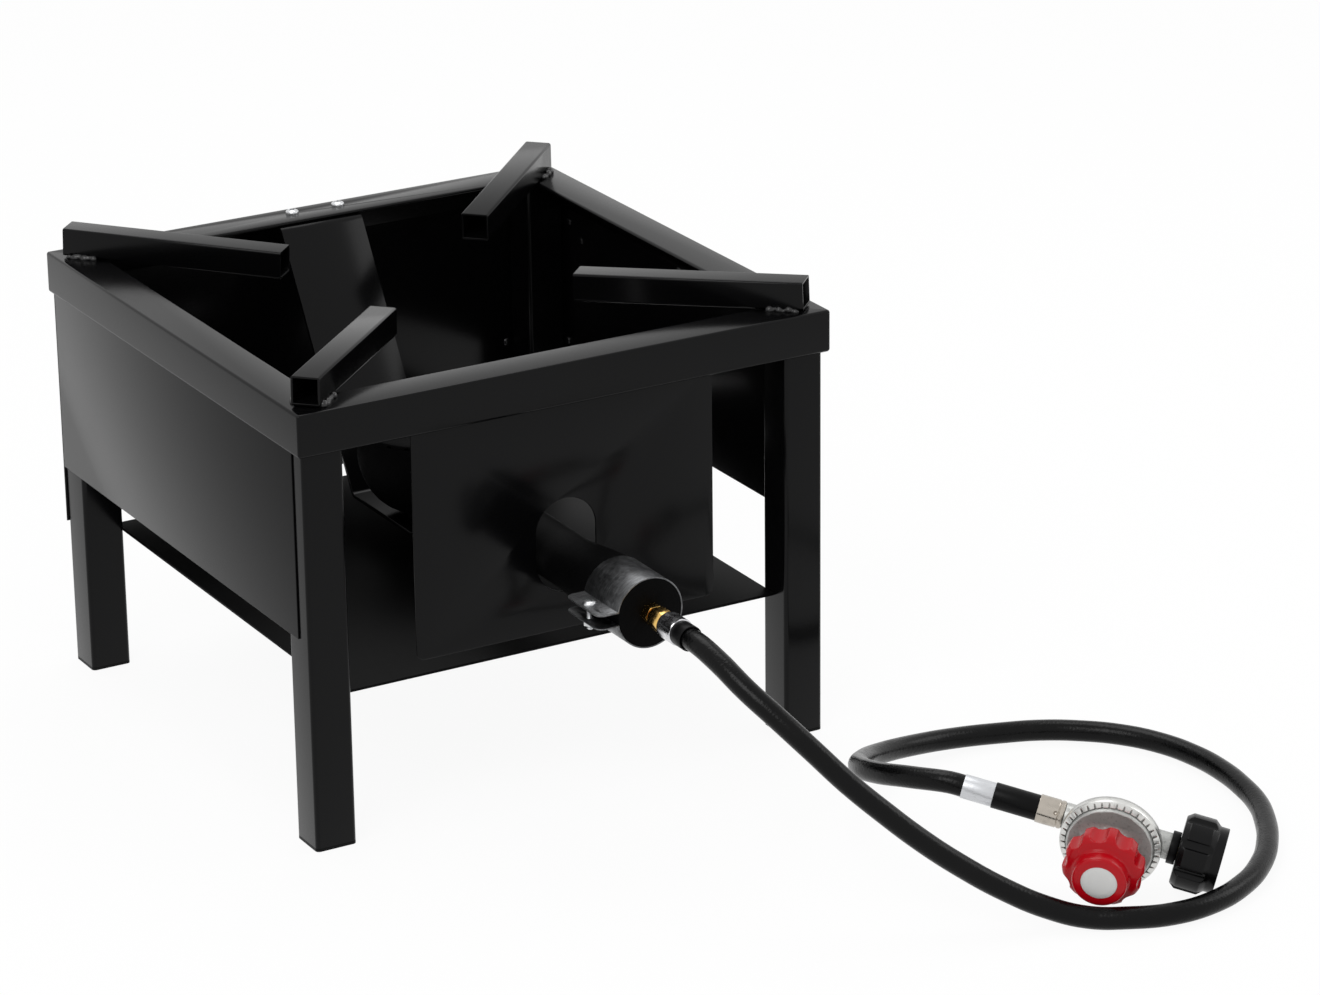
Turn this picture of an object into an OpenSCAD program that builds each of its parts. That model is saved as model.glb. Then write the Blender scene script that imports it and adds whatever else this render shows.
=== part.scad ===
/* [Stand] */
// Outer width of the square rim
rim_w = 406; // [390:1:430]
// Height of the rim's top face above the floor
rim_top = 313; // [295:1:340]
// Width of each flange of the rim's angle iron
angle_w = 30; // [26:1:34]
// Thickness of the rim's angle iron
angle_t = 3; // [2.5:0.25:4]
// Radius of the angle iron's outer edge
angle_r = 1.6; // [0.6:0.1:2.4]
// Outer width of the square leg tube
leg_w = 30; // [24:1:32]
// Wall of the leg tube
leg_t = 1.5; // [1:0.25:2.5]
// Outer corner radius of the leg tube
leg_r = 3; // [2:0.25:5]
// Thickness of the foot caps below the legs
foot_t = 2; // [1.5:0.25:4]
// Depth of the foot caps' plugs inside the legs
foot_plug = 12; // [8:1:20]

/* [Pot arms] */
// Outer width of the square arm tube
arm_w = 20; // [16:1:22]
// Wall of the arm tube
arm_t = 1.5; // [1:0.25:2.5]
// Outer corner radius of the arm tube
arm_r = 1.8; // [1:0.1:3]
// Length of one arm
arm_len = 163; // [145:1:170]
// Distance of an arm's outer end from the rim's corner
arm_back = 17; // [14:0.5:22]
// Dip of the arms toward the stand's centre, in degrees
arm_dip = 2; // [0:0.25:4]
// Radius of the weld bead beside an arm
bead_r = 3.2; // [2:0.1:3.6]
// Length of the weld bead beside an arm
bead_len = 19; // [12:1:22]

/* [Wind guard] */
// Thickness of the sheet-metal panels
sheet_t = 1.2; // [0.8:0.1:2]
// Height of the lower edge of the side panels
panel_low = 150; // [120:1:200]
// Height of the lower edge of the rear panel
rear_low = 108; // [106:1:160]
// How far the panels reach up behind the rim's flange
panel_lap = 6; // [4:1:10]
// Setback of a side panel's front edge from the legs' front face
side_setback = 14; // [4:1:24]
// Width of the front panel
front_w = 230; // [200:1:250]
// Height of the front panel's lower edge
front_low = 122; // [112:1:135]
// Radius of the front panel's lower corners
front_r = 6; // [4:1:16]
// Width of the round-ended slot for the burner tube
slot_w = 46; // [42:1:60]
// Height between the centres of the slot's round ends
slot_rise = 21; // [10:1:40]
// Radius of a tack weld on the inside of the panels
tack_r = 3; // [2:0.25:4]
// Height of a tack weld
tack_h = 1.3; // [0.8:0.1:2]
// Gap between a tack weld and the leg beside it
tack_gap = 0.8; // [0.4:0.1:3]

/* [Shelf] */
// Height of the shelf's top face
shelf_top = 105; // [80:1:110]
// Thickness of the shelf plate
shelf_t = 2; // [1.2:0.1:3]
// Setback of the shelf's front and rear edges from the legs' outer faces
shelf_setback = 15; // [5:1:24]

/* [Hanger strap] */
// Width of the flat bar
strap_w = 65; // [50:1:70]
// Thickness of the flat bar
strap_t = 3; // [2.5:0.25:5]
// Angle of the strap's sloping stretch from upright
strap_lean = 31; // [24:1:34]
// Inner radius of the strap's bends
strap_r = 4; // [2:0.5:8]
// Length of the tab under the rear rim
strap_tab = 26; // [22:1:27]
// Gap between the tab's end and the rear rim's flange
strap_gap = 2; // [0.5:0.5:4]
// Distance of the strap's front end in front of the burner head's centre
strap_front = 22; // [15:1:35]
// Distance between the two strap screws
strap_pitch = 37; // [28:1:42]
// Offset of the two strap screws' middle to the right
strap_screw_x = 4.75; // [-6:0.25:6]
// Distance of the strap screws from the rear rim's inner face
strap_screw_y = 9; // [8:0.5:12]
// Diameter of the small machine screws
screw_d = 5; // [4:0.5:6]

/* [Burner] */
// Offset of the burner, its tube and the front panel to the right
burner_x = -5; // [-12:1:12]
// Height of the burner tube's axis
tube_z = 172; // [166:1:184]
// Distance of the bell's end face in front of the rim
bell_out = 110; // [90:1:130]
// Outer radius of the mixing bell
bell_r = 23.5; // [21:0.5:26]
// Wall of the mixing bell
bell_wall = 3.5; // [2.5:0.25:5]
// Length of the straight bell
bell_len = 50; // [48:1:58]
// Thickness of the bell's end plate
plate_t = 4; // [3:0.5:6]
// Outer radius of the burner tube
tube_r = 19; // [17:0.5:20]
// Wall of the burner tube
tube_wall = 4; // [3:0.5:5]
// Radius of the venturi's throat
throat_r = 11; // [8:0.5:12.5]
// Outer radius of the burner head
head_r = 51; // [46:1:56]
// Wall of the burner head's bowl
bowl_wall = 4; // [3:0.5:5]
// Depth of the bowl's boss below the tube's axis
boss_drop = 34; // [31:1:38]
// Height of the bowl's edge above the tube's axis
bowl_rise = 33; // [30:1:38]
// Radius of the central boss
boss_r = 16; // [14:0.5:20]
// Thickness of the burner cap at its edge
cap_t = 3; // [2.5:0.25:5]
// Crown of the burner cap above its edge
cap_crown = 4; // [2:0.5:6]
// Diameter of a gas port in the cap
port_d = 3; // [2:0.25:4]
// Number of notches round the cap's edge
notches = 24; // [16:1:28]
// Diameter of the bolt through the burner head
bolt_d = 8; // [6:0.5:8]

/* [Air shutter] */
// Running gap between the shutter band and the bell
shutter_gap = 0.35; // [0.3:0.05:0.6]
// Thickness of the shutter band
shutter_t = 0.9; // [0.7:0.1:1.5]
// Length of the shutter band
shutter_len = 45; // [40:1:46]
// Length of an air window
window_len = 26; // [18:1:30]
// Angle that an air window spans
window_arc = 34; // [26:1:34]
// Angle between the two air windows' middles
window_step = 70; // [69:1:80]
// Angle by which the shutter covers each window at rest
shutter_cover = 14; // [0:1:30]
// Distance from the tube's axis to the ears' outer edge
ear_reach = 39; // [37:0.5:44]
// Gap between the two clamping ears
ear_gap = 8.5; // [5:0.5:11]
// Radius of the ears' outer corners
ear_r = 6; // [3:0.5:9]
// Distance from the tube's axis to the clamping screw
clamp_reach = 32.7; // [31.5:0.1:33]

/* [Hose fittings] */
// Width across flats of the jet fitting's hexagon
jet_af = 12.7; // [11:0.1:16]
// Length of the jet fitting's hexagon
jet_hex = 7; // [5:0.5:10]
// Length of the jet fitting's threaded neck
jet_neck = 5; // [4:0.5:6]
// Radius of the jet fitting's neck
neck_r = 5.4; // [4.8:0.1:5.8]
// Width across flats of the flare nut
nut_af = 14.3; // [13.5:0.1:19]
// Length of the flare nut
nut_len = 14; // [11:0.5:18]
// Gap between the jet fitting's hexagon and the flare nut
nut_gap = 2; // [1:0.5:3]
// Outer radius of the hose ferrules
ferrule_r = 9.5; // [9:0.1:11]
// Length of the hose ferrules
ferrule_len = 18; // [14:1:24]
// Outer radius of the sleeves next to the ferrules
sleeve_r = 8.7; // [8.4:0.1:9.5]
// Length of the sleeve at the burner's end
sleeve_len = 12; // [8:1:16]
// Outer diameter of the hose
hose_d = 15; // [14:0.1:15]

/* [Regulator] */
// Outer radius of the crimp ring
disc_r = 33.5; // [33:0.1:36]
// Number of teeth folded over by the crimp ring
teeth = 40; // [32:1:48]
// Wall of the crimp ring
ring_t = 1; // [0.8:0.1:1.4]
// Thickness of the diaphragm
diaphragm_t = 1; // [0.6:0.1:1.4]
// Thickness of the body's flange and of the bonnet's flange
flange_t = 2; // [1.75:0.25:2.5]
// Outer radius of the bonnet's raised face
face_r = 28.8; // [27:0.1:29]
// Height of the bonnet's face above the disc's middle
face_d = 3.8; // [3.4:0.1:4.6]
// Outer radius of the bonnet's neck
neck_out = 13; // [12.5:0.1:14]
// Height of the bonnet's neck above the disc's middle
neck_d = 24; // [23:0.5:25]
// Depth of the ports' axis behind the disc's middle
port_back = 17; // [16.5:0.5:19]
// Outer radius of the outlet and inlet bosses
boss_out = 9; // [8.5:0.1:10]
// Length of the outlet boss from the disc's axis
outlet_len = 34; // [33.8:0.1:38]
// Length of the inlet boss from the disc's axis
inlet_len = 37.5; // [35:0.5:40]
// Length of the sleeve at the regulator's end
long_sleeve = 30; // [24:1:34]
// Length of the label band on the hose
label_len = 21; // [14:1:24]

/* [Regulator knob] */
// Largest radius of the knob
knob_r = 27; // [25:0.5:27.5]
// Number of lobes round the knob
lobes = 10; // [8:1:12]
// Radius of a flute between two lobes
flute_r = 7.5; // [5:0.5:9]
// Depth of a flute
flute_depth = 3.5; // [2:0.25:4]
// Distance of the knob's rear edge in front of the disc's middle
knob_back = 18; // [14:0.5:19]
// Distance of the knob's front face in front of the disc's middle
knob_front = 46; // [44:0.5:48]
// Radius of the knob's front boss
knob_boss = 18.2; // [16:0.2:19]
// Radius of the white disc on the knob
dial_r = 12; // [9:0.5:13]
// Thickness of the white disc
dial_t = 0.8; // [0.6:0.1:0.9]
// Radius of the adjusting screw
adjust_r = 4.9; // [4.4:0.1:5.4]
// Travel of the adjusting screw when it is wound in
adjust_travel = 3.2; // [2:0.1:3.2]

/* [Tank nut] */
// Largest radius of the tank nut
nut_r = 25.5; // [24:0.1:26]
// Length of the tank nut
tank_len = 29; // [26:0.5:30]
// Number of grip grooves round the tank nut
grooves = 8; // [6:1:10]
// Radius of a grip groove
groove_r = 4; // [2.5:0.25:5]
// Depth of a grip groove
groove_depth = 2.5; // [1:0.25:2.8]
// Radius of the tank nut's threaded bore
tank_bore = 16.7; // [15:0.1:18]
// Thickness of the tank nut's inner web
web_t = 6; // [5:0.25:8]
// Outer radius of the collar on the inlet
collar_r = 11; // [10.5:0.1:13]
// Length of the collar on the inlet
collar_len = 5.5; // [4:0.5:7]
// Running gap between the tank nut and what it turns on
run_gap = 0.3; // [0.2:0.05:0.5]

/* [Hidden] */

// Where the square stand's centre lies, so that the front fittings and the rear rim are equally far from the origin
stand_y = (bell_out + jet_hex + jet_neck) / 2;
// Half widths of the stand from outside to inside
rim_half = rim_w / 2;
flange_in = rim_half - angle_t;
leg_face = flange_in - sheet_t;
leg_mid = leg_face - leg_w / 2;
leg_in = leg_face - leg_w;
// Distances of an arm's two ends from the stand's centre
arm_out = rim_half * sqrt(2) - arm_back;
arm_in = arm_out - arm_len;
// Where an arm's flat underside crosses the inner edges of the rim's flanges
arm_rest = (rim_half - angle_w) * sqrt(2) - arm_w / 2 + arm_r;
// Heights under the rim
rim_under = rim_top - angle_t;
panel_top = rim_top - angle_w + panel_lap;

// Strap's centre line, in the plane that runs from front to back
tab_z = rim_under - strap_t / 2;
boss_z = tube_z - boss_drop;
low_z = boss_z - strap_t / 2;
tab_y = flange_in - strap_gap;
bend_y = tab_y - strap_tab;
low_y = bend_y - (tab_z - low_z) * tan(strap_lean);
strap_path = [[tab_y, tab_z], [bend_y, tab_z], [low_y, low_z], [-strap_front, low_z]];

// Screws, nuts and washers
slack = 0.25;
screw_head_r = screw_d * 0.95;
screw_head_h = screw_d * 0.6;
small_nut_h = screw_d * 0.8;
small_nut_af = screw_d * 1.6;
screw_tail = 3;
big_nut_h = bolt_d * 0.8;
big_nut_af = bolt_d * 1.62;
big_head_h = bolt_d * 0.66;
washer_t = 1.6;
washer_r = bolt_d;
bolt_tail = 3;

// Burner casting: distances along the tube are counted from the bell's end face
bell_face = -(rim_half + bell_out);
tube_len = -bell_face;
neck_run = 55;
throat_at = bell_len + 35;
diffuser_at = bell_len + 120;
spud_r = 4.8;
spud_len = 8;
column_r = 9;
column_gap = 2;
bowl_bend = tube_z + 18;
bowl_low = tube_z - 26;
bowl_rim = tube_z + bowl_rise;
cap_edge = bowl_rim + cap_t;
cap_top = cap_edge + cap_crown;
spigot_h = 4;
spigot_w = 3;
window_at = 11;
window_turn = 65;
inner_ports = 12;
outer_ports = 18;

// Hose fittings: distances in front of the bell's end face
nut_from = jet_hex + nut_gap;
ferrule_from = nut_from + nut_len;
hose_from = ferrule_from + ferrule_len;
jet_bore = 2.2;
stub_r = 4.1;
sleeve_bore = hose_d / 2 + 0.2;
band_r = hose_d / 2 + 0.6;

// Regulator: depths are counted from the disc's middle towards the knob
body_flange = -3;
bonnet_flange = body_flange + diaphragm_t;
ring_back = body_flange - flange_t;
ring_front = bonnet_flange + flange_t;
ring_edge = ring_front + 0.5;
tooth_tip = ring_edge + 1.7;
tooth_in = face_r + 0.9;
flange_r = disc_r - ring_t - 0.1;
spring_bore = 10.5;
plate_r = 15;
plate_d = bonnet_flange + 1.4;
spring_r = 7.6;
spring_wire = 1;
spring_turns = 4;
spring_pitch = 2.5;
spring_seat = plate_d + spring_wire + 0.05;
spring_top = spring_seat + spring_turns * spring_pitch + spring_wire;
button_h = 2.8;
screw_tip = spring_top + adjust_travel + button_h + 0.1;
neck_wall = 4;
knob_hollow = 30;
dial_recess = 1;

// Inlet: distances along the inlet from the disc's axis
collar_at = inlet_len;
web_at = collar_at + collar_len + run_gap;
keeper_at = web_at + web_t + run_gap;
keeper_len = 2.7;
nipple_r = 8;
nose_len = 13;
bevel_in = 4;
lobe_len = 15;
bevel_out = 4;

// Where the regulator lies: turned, tilted back and rolled, with its tank nut just clear of the floor
reg_yaw = -44;
reg_tilt = 8.87;
reg_roll = 13.41;
nut_rest = nut_r * norm([sin(reg_tilt), cos(reg_roll) * cos(reg_tilt)]) + run_gap;
nut_edge = web_at + bevel_in + lobe_len;
reg_at = [215.3, -467.7, nut_rest + nut_edge * sin(reg_roll) * cos(reg_tilt) - port_back * sin(reg_tilt)];

// The hose's route, chosen by hand from the burner's fitting to the regulator's
hose_route = [
    [-2, -335, 166], [4, -359, 154], [15, -381, 139], [29, -400, 121], [45, -417, 101],
    [64, -432, 81], [85, -445, 61], [107, -458, 43], [130, -472, 27], [153, -486, 14.6],
    [175, -501, 8], [198, -516, 8], [225, -525.5, 8], [256.5, -525, 8], [289.5, -513.5, 8],
    [317, -495, 8], [343, -468, 8], [363, -438, 8], [375, -413, 8], [382, -387, 8],
    [386, -358, 8], [385, -328, 8], [377, -297, 8], [362, -271, 8], [342, -251, 8],
    [318, -235, 8], [290, -225, 8.4], [256, -220, 10.5], [220, -224, 15], [183, -239, 23],
    [154, -262, 33], [134, -292, 44], [127, -325, 54], [132, -357, 62],
];
hose_sides = 12;
start_run = 18;
end_run = 28;

// Points, turns and profiles
function unit(v) = v / norm(v);
function turn_x(p, a) = [p.x, p.y * cos(a) - p.z * sin(a), p.y * sin(a) + p.z * cos(a)];
function turn_y(p, a) = [p.x * cos(a) + p.z * sin(a), p.y, -p.x * sin(a) + p.z * cos(a)];
function turn_z(p, a) = [p.x * cos(a) - p.y * sin(a), p.x * sin(a) + p.y * cos(a), p.z];
function reg_world(p) = reg_at + turn_z(turn_x(turn_y(p, reg_roll), reg_tilt), reg_yaw);
function arc(centre, r, from, to, steps = 8) = [
    for (i = [0:steps])
        let(a = from + (to - from) * i / steps)
            centre + r * [cos(a), sin(a)]
];
// Replaces the corner b of the path a, b, c by an arc
function round_corner(a, b, c, r, steps = 6) =
    let(
        u = unit(a - b),
        w = unit(c - b),
        half = acos(u * w) / 2,
        centre = b + unit(u + w) * r / sin(half),
        start = b + u * r / tan(half) - centre,
        side = u.x * w.y - u.y * w.x > 0 ? -1 : 1
    )
    arc(centre, r, atan2(start.y, start.x), atan2(start.y, start.x) + side * (180 - 2 * half), steps);
function left_of(a, b) = let(u = unit(b - a)) [-u.y, u.x];
// A path moved sideways by e, with sharp corners
function shifted(path, e) = [
    for (i = [0:len(path) - 1])
        i == 0 ? path[0] + e * left_of(path[0], path[1])
        : i == len(path) - 1 ? path[i] + e * left_of(path[i - 1], path[i])
        : let(
            n = left_of(path[i - 1], path[i]),
            m = unit(n + left_of(path[i], path[i + 1]))
        ) path[i] + e * m / (m * n)
];
// A path whose inner corners are rounded, each with its own radius
function rounded(path, radii) = [
    for (i = [0:len(path) - 1])
        each (i == 0 || i == len(path) - 1)
            ? [path[i]]
            : round_corner(path[i - 1], path[i], path[i + 1], radii[i - 1])
];
function backwards(list) = [for (i = [len(list) - 1:-1:0]) list[i]];
// The outline of a flat bar bent along a path; turns holds 1 for a bend to the left and -1 to the right
function bent_bar(path, t, r, turns) = concat(
    rounded(shifted(path, t / 2), [for (s = turns) s > 0 ? r : r + t]),
    backwards(rounded(shifted(path, -t / 2), [for (s = turns) s > 0 ? r + t : r]))
);
// A smooth step from one radius to another along a revolved outline
function eased(r0, z0, r1, z1, steps = 8) = [
    for (i = [0:steps])
        [r1 + (r0 - r1) * (1 + cos(180 * i / steps)) / 2, z0 + (z1 - z0) * i / steps]
];

// Tubes swept along a list of points
function tangent(p, i) = unit(p[min(i + 1, len(p) - 1)] - p[max(i - 1, 0)]);
function sweep_ring(p, i, r, sides) =
    let(t = tangent(p, i), s = unit(cross(t, [0, 0, 1])), u = cross(s, t))
    [for (k = [0:sides - 1]) p[i] + r * (cos(360 * k / sides) * s + sin(360 * k / sides) * u)];
module swept_tube(p, r, sides) {
    rings = len(p);
    points = [for (i = [0:rings - 1]) each sweep_ring(p, i, r, sides)];
    walls = [
        for (i = [0:rings - 2], k = [0:sides - 1])
            let(a = i * sides + k, b = i * sides + (k + 1) % sides)
                each [[a, a + sides, b + sides], [a, b + sides, b]]
    ];
    first_cap = [for (k = [1:sides - 2]) [0, k, k + 1]];
    last = (rings - 1) * sides;
    last_cap = [for (k = [1:sides - 2]) [last, last + k + 1, last + k]];
    polyhedron(points, concat(walls, first_cap, last_cap));
}

// Basic shapes
module round_square(w, r) {
    square([w - 2 * r, w], center = true);
    square([w, w - 2 * r], center = true);
    for (x = [-1, 1], y = [-1, 1])
        translate([x, y] * (w / 2 - r)) circle(r, $fn = 32);
}
module square_tube(w, t, r, length) {
    linear_extrude(length) difference() {
        round_square(w, r);
        round_square(w - 2 * t, max(0.3, r - t));
    }
}
module hexagon(af, h) {
    cylinder(h = h, r = af / 2 / cos(30), $fn = 6);
}
module hex_nut(af, h, d) {
    difference() {
        hexagon(af, h);
        translate([0, 0, -1]) cylinder(h = h + 2, d = d + 0.2, $fn = 32);
    }
}
// A pan-head screw that points down, with the head's underside at the origin
module pan_screw(length) {
    rotate_extrude($fn = 40) polygon(concat(
        [[0, -length], [screw_d / 2 - 0.5, -length], [screw_d / 2, -length + 0.5], [screw_d / 2, 0]],
        [[screw_head_r, 0], [screw_head_r, screw_head_h * 0.35]],
        [for (a = [15:15:90]) [screw_head_r * cos(a), screw_head_h * (0.35 + 0.65 * sin(a))]]
    ));
}
module ring(r_out, r_in, h) {
    difference() {
        cylinder(h = h, r = r_out, $fn = 64);
        translate([0, 0, -1]) cylinder(h = h + 2, r = r_in, $fn = 64);
    }
}
// A sector of a disc whose middle points along X
module sector(arc_angle, r) {
    polygon(concat([[0, 0]], arc([0, 0], r, -arc_angle / 2, arc_angle / 2, 6)));
}

// Places: the stand, the burner tube, the burner head, the regulator and its two axes
module in_stand() {
    translate([0, stand_y, 0]) children();
}
// Turns an outline so that its X runs to the back, its Y runs up and its depth runs to the right
module across(length) {
    translate([-length / 2, 0, 0]) rotate([90, 0, 90]) linear_extrude(length) children();
}
module on_tube(l = 0) {
    in_stand() translate([burner_x, bell_face + l, tube_z]) rotate([-90, 0, 0]) children();
}
module on_head() {
    in_stand() translate([burner_x, 0, 0]) children();
}
module in_regulator() {
    translate(reg_at) rotate([0, 0, reg_yaw]) rotate([reg_tilt, 0, 0]) rotate([0, reg_roll, 0]) children();
}
module on_disc(d = 0) {
    in_regulator() rotate([90, 0, 0]) translate([0, 0, d]) children();
}
module on_port(x = 0) {
    in_regulator() translate([x, port_back, 0]) rotate([0, 90, 0]) children();
}

// One side of the rim: an angle iron with mitred ends, turned about the stand's centre
module rim_side(turn, drilled = false) {
    fillet = sheet_t;
    in_stand() rotate([0, 0, turn]) difference() {
        intersection() {
            across(rim_w) polygon(concat(
                arc([-rim_half + angle_r, rim_top - angle_r], angle_r, 180, 90, 6),
                [[-rim_half + angle_w, rim_top], [-rim_half + angle_w, rim_under]],
                arc([-flange_in + fillet, rim_under - fillet], fillet, 90, 180, 6),
                [[-flange_in, rim_top - angle_w], [-rim_half, rim_top - angle_w]]
            ));
            linear_extrude(rim_top + 1) polygon([[0, 0], [-rim_w, -rim_w], [rim_w, -rim_w]]);
        }
        if (drilled)
            rotate([0, 0, -turn]) strap_holes();
    }
}
// The clearance holes of the two strap screws
module strap_holes() {
    for (s = [-1, 1])
        translate([strap_screw_x + s * strap_pitch / 2, flange_in - strap_screw_y, rim_under - strap_t - 1])
            cylinder(h = angle_t + strap_t + 2, d = screw_d + 2 * slack, $fn = 32);
}
module rim_front() {
    color("#141416") rim_side(0);
}
module rim_right() {
    color("#141416") rim_side(90);
}
module rim_rear() {
    color("#141416") rim_side(180, true);
}
module rim_left() {
    color("#141416") rim_side(270);
}

module leg(x, y) {
    in_stand() translate([x * leg_mid, y * leg_mid, foot_t])
        square_tube(leg_w, leg_t, leg_r, rim_under - foot_t);
}
module leg_front_left() {
    color("#151517") leg(-1, -1);
}
module leg_front_right() {
    color("#151517") leg(1, -1);
}
module leg_rear_left() {
    color("#151517") leg(-1, 1);
}
module leg_rear_right() {
    color("#151517") leg(1, 1);
}
// Plastic caps: a flange as wide as the leg and a hollow plug inside it
module foot_caps() {
    plug_w = leg_w - 2 * leg_t - slack;
    plug_r = max(0.5, leg_r - leg_t);
    color("#0c0c0d") in_stand()
        for (x = [-1, 1], y = [-1, 1])
            translate([x, y] * leg_mid) {
                linear_extrude(foot_t) round_square(leg_w, leg_r);
                translate([0, 0, foot_t]) square_tube(plug_w, 2, plug_r, foot_plug);
            }
}

// A pot arm rests on the flanges' inner edges and dips toward the stand's centre
module pot_arm(turn) {
    in_stand() rotate([0, 0, turn]) translate([arm_rest, 0, rim_top]) rotate([0, -arm_dip, 0])
        translate([arm_in - arm_rest, 0, arm_w / 2])
            rotate([90, 0, 90]) square_tube(arm_w, arm_t, arm_r, arm_len);
}
module pot_arm_front_left() {
    color("#161618") pot_arm(225);
}
module pot_arm_front_right() {
    color("#161618") pot_arm(315);
}
module pot_arm_rear_left() {
    color("#161618") pot_arm(135);
}
module pot_arm_rear_right() {
    color("#161618") pot_arm(45);
}
// A quarter-round bead on each side of each arm, ended by quarter spheres
module weld_beads() {
    out = arm_out - bead_len - 2 * bead_r;
    color("#1a1a1c") in_stand()
        for (turn = [45:90:315], s = [-1, 1])
            rotate([0, 0, turn]) translate([out, s * arm_w / 2, rim_top]) intersection() {
                union() {
                    rotate([0, 90, 0]) cylinder(h = bead_len, r = bead_r, $fn = 32);
                    sphere(bead_r, $fn = 32);
                    translate([bead_len, 0, 0]) sphere(bead_r, $fn = 32);
                }
                translate([-bead_r - 1, s > 0 ? 0 : -bead_r - 1, 0])
                    cube([bead_len + 2 * bead_r + 2, bead_r + 1, bead_r + 1]);
            }
}

module side_panel(x) {
    in_stand() translate([x > 0 ? leg_face : -leg_face - sheet_t, -leg_face + side_setback, panel_low])
        cube([sheet_t, 2 * leg_face - side_setback, panel_top - panel_low]);
}
module wind_panel_left() {
    color("#131315") side_panel(-1);
}
module wind_panel_right() {
    color("#131315") side_panel(1);
}
module wind_panel_rear() {
    color("#131315") in_stand() translate([-flange_in, leg_face, rear_low])
        cube([2 * flange_in, sheet_t, panel_top - rear_low]);
}
module front_panel() {
    color("#171719") in_stand() translate([burner_x, -leg_face, 0])
        rotate([90, 0, 0]) linear_extrude(sheet_t) difference() {
            union() {
                translate([-front_w / 2, front_low + front_r])
                    square([front_w, panel_top - front_low - front_r]);
                translate([-front_w / 2 + front_r, front_low])
                    square([front_w - 2 * front_r, front_r]);
                for (x = [-1, 1])
                    translate([x * (front_w / 2 - front_r), front_low + front_r])
                        circle(front_r, $fn = 64);
            }
            translate([-slot_w / 2, tube_z]) square([slot_w, slot_rise]);
            for (z = [0, slot_rise])
                translate([0, tube_z + z]) circle(slot_w / 2, $fn = 96);
        }
}
// Small domes on the inside of the rear and right panels
module tack_welds() {
    beside_leg = leg_in - tack_r - tack_gap;
    side_tacks = [
        [beside_leg, panel_low + 34], [beside_leg - 23, panel_top - 20],
        [beside_leg - 5, panel_top - 10], [-tack_r, panel_top - tack_r],
    ];
    color("#1b1b1d") in_stand() {
        for (p = side_tacks)
            translate([leg_face, p[0], p[1]]) rotate([0, -90, 0]) tack();
        translate([beside_leg, leg_face, panel_low + 29]) rotate([90, 0, 0]) tack();
    }
}
module tack() {
    rotate_extrude($fn = 32) polygon(concat([[0, 0]], [
        for (a = [0:15:90]) [tack_r * cos(a), tack_h * sin(a)]
    ]));
}

module shelf_plate() {
    edge = leg_face - shelf_setback;
    color("#151517") in_stand() translate([-leg_in, -edge, shelf_top - shelf_t])
        cube([2 * leg_in, 2 * edge, shelf_t]);
}

// Flat bar from under the rear rim, down and forward, and under the burner head
module burner_strap() {
    color("#171719") in_stand() difference() {
        across(strap_w) polygon(bent_bar(strap_path, strap_t, strap_r, [1, -1]));
        strap_holes();
        translate([burner_x, 0, low_z - strap_t])
            cylinder(h = 2 * strap_t, d = bolt_d + 4 * slack, $fn = 48);
    }
}
module at_strap_screws(z) {
    in_stand()
        for (s = [-1, 1])
            translate([strap_screw_x + s * strap_pitch / 2, flange_in - strap_screw_y, z]) children();
}
module strap_screws() {
    color("#b9bbbe") at_strap_screws(rim_top)
        pan_screw(angle_t + strap_t + small_nut_h + screw_tail);
}
module strap_nuts() {
    color("#a9abae") at_strap_screws(rim_under - strap_t - small_nut_h)
        hex_nut(small_nut_af, small_nut_h, screw_d);
}

// Cast burner: mixing bell, venturi tube and bowl in one piece
module burner_body() {
    bowl_edge = head_r - bowl_wall;
    color("#1c1c1e") difference() {
        union() {
            on_tube() rotate_extrude($fn = 96) polygon(concat(
                [[0, 0], [bell_r, 0]],
                eased(bell_r, bell_len, tube_r, bell_len + neck_run),
                [[tube_r, tube_len - head_r + bowl_wall + 2], [0, tube_len - head_r + bowl_wall + 2]]
            ));
            on_head() rotate_extrude($fn = 128) polygon(concat(
                [[0, boss_z], [boss_r, boss_z], [boss_r, bowl_low]],
                bowl_curve(boss_r, head_r, bowl_low),
                [[head_r, bowl_rim], [0, bowl_rim]]
            ));
        }
        on_tube() rotate_extrude($fn = 96) polygon(concat(
            [[0, -1], [spud_r, -1], [spud_r, plate_t], [bell_r - bell_wall, plate_t]],
            eased(bell_r - bell_wall, bell_len - 6, throat_r, throat_at),
            eased(throat_r, throat_at + 10, tube_r - tube_wall, diffuser_at),
            [[tube_r - tube_wall, tube_len - 2 * column_r], [0, tube_len - 2 * column_r]]
        ));
        on_head() difference() {
            rotate_extrude($fn = 128) polygon(concat(
                [[0, bowl_low + bowl_wall], [column_r, bowl_low + bowl_wall]],
                bowl_curve(column_r + 2, bowl_edge, bowl_low + bowl_wall),
                [[bowl_edge, bowl_rim + 1], [0, bowl_rim + 1]]
            ));
            translate([0, 0, boss_z]) cylinder(h = bowl_rim - column_gap - boss_z, r = column_r, $fn = 64);
        }
        on_head() translate([0, 0, boss_z - 1])
            cylinder(h = bowl_rim - boss_z + 2, d = bolt_d + 4 * slack, $fn = 48);
        on_tube(window_at) air_windows(window_arc);
    }
}
// A quarter of an ellipse from the bowl's foot to its upright wall
function bowl_curve(r0, r1, z0) = [
    for (a = [0:10:90]) [r0 + (r1 - r0) * sin(a), bowl_bend - (bowl_bend - z0) * cos(a)]
];
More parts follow.
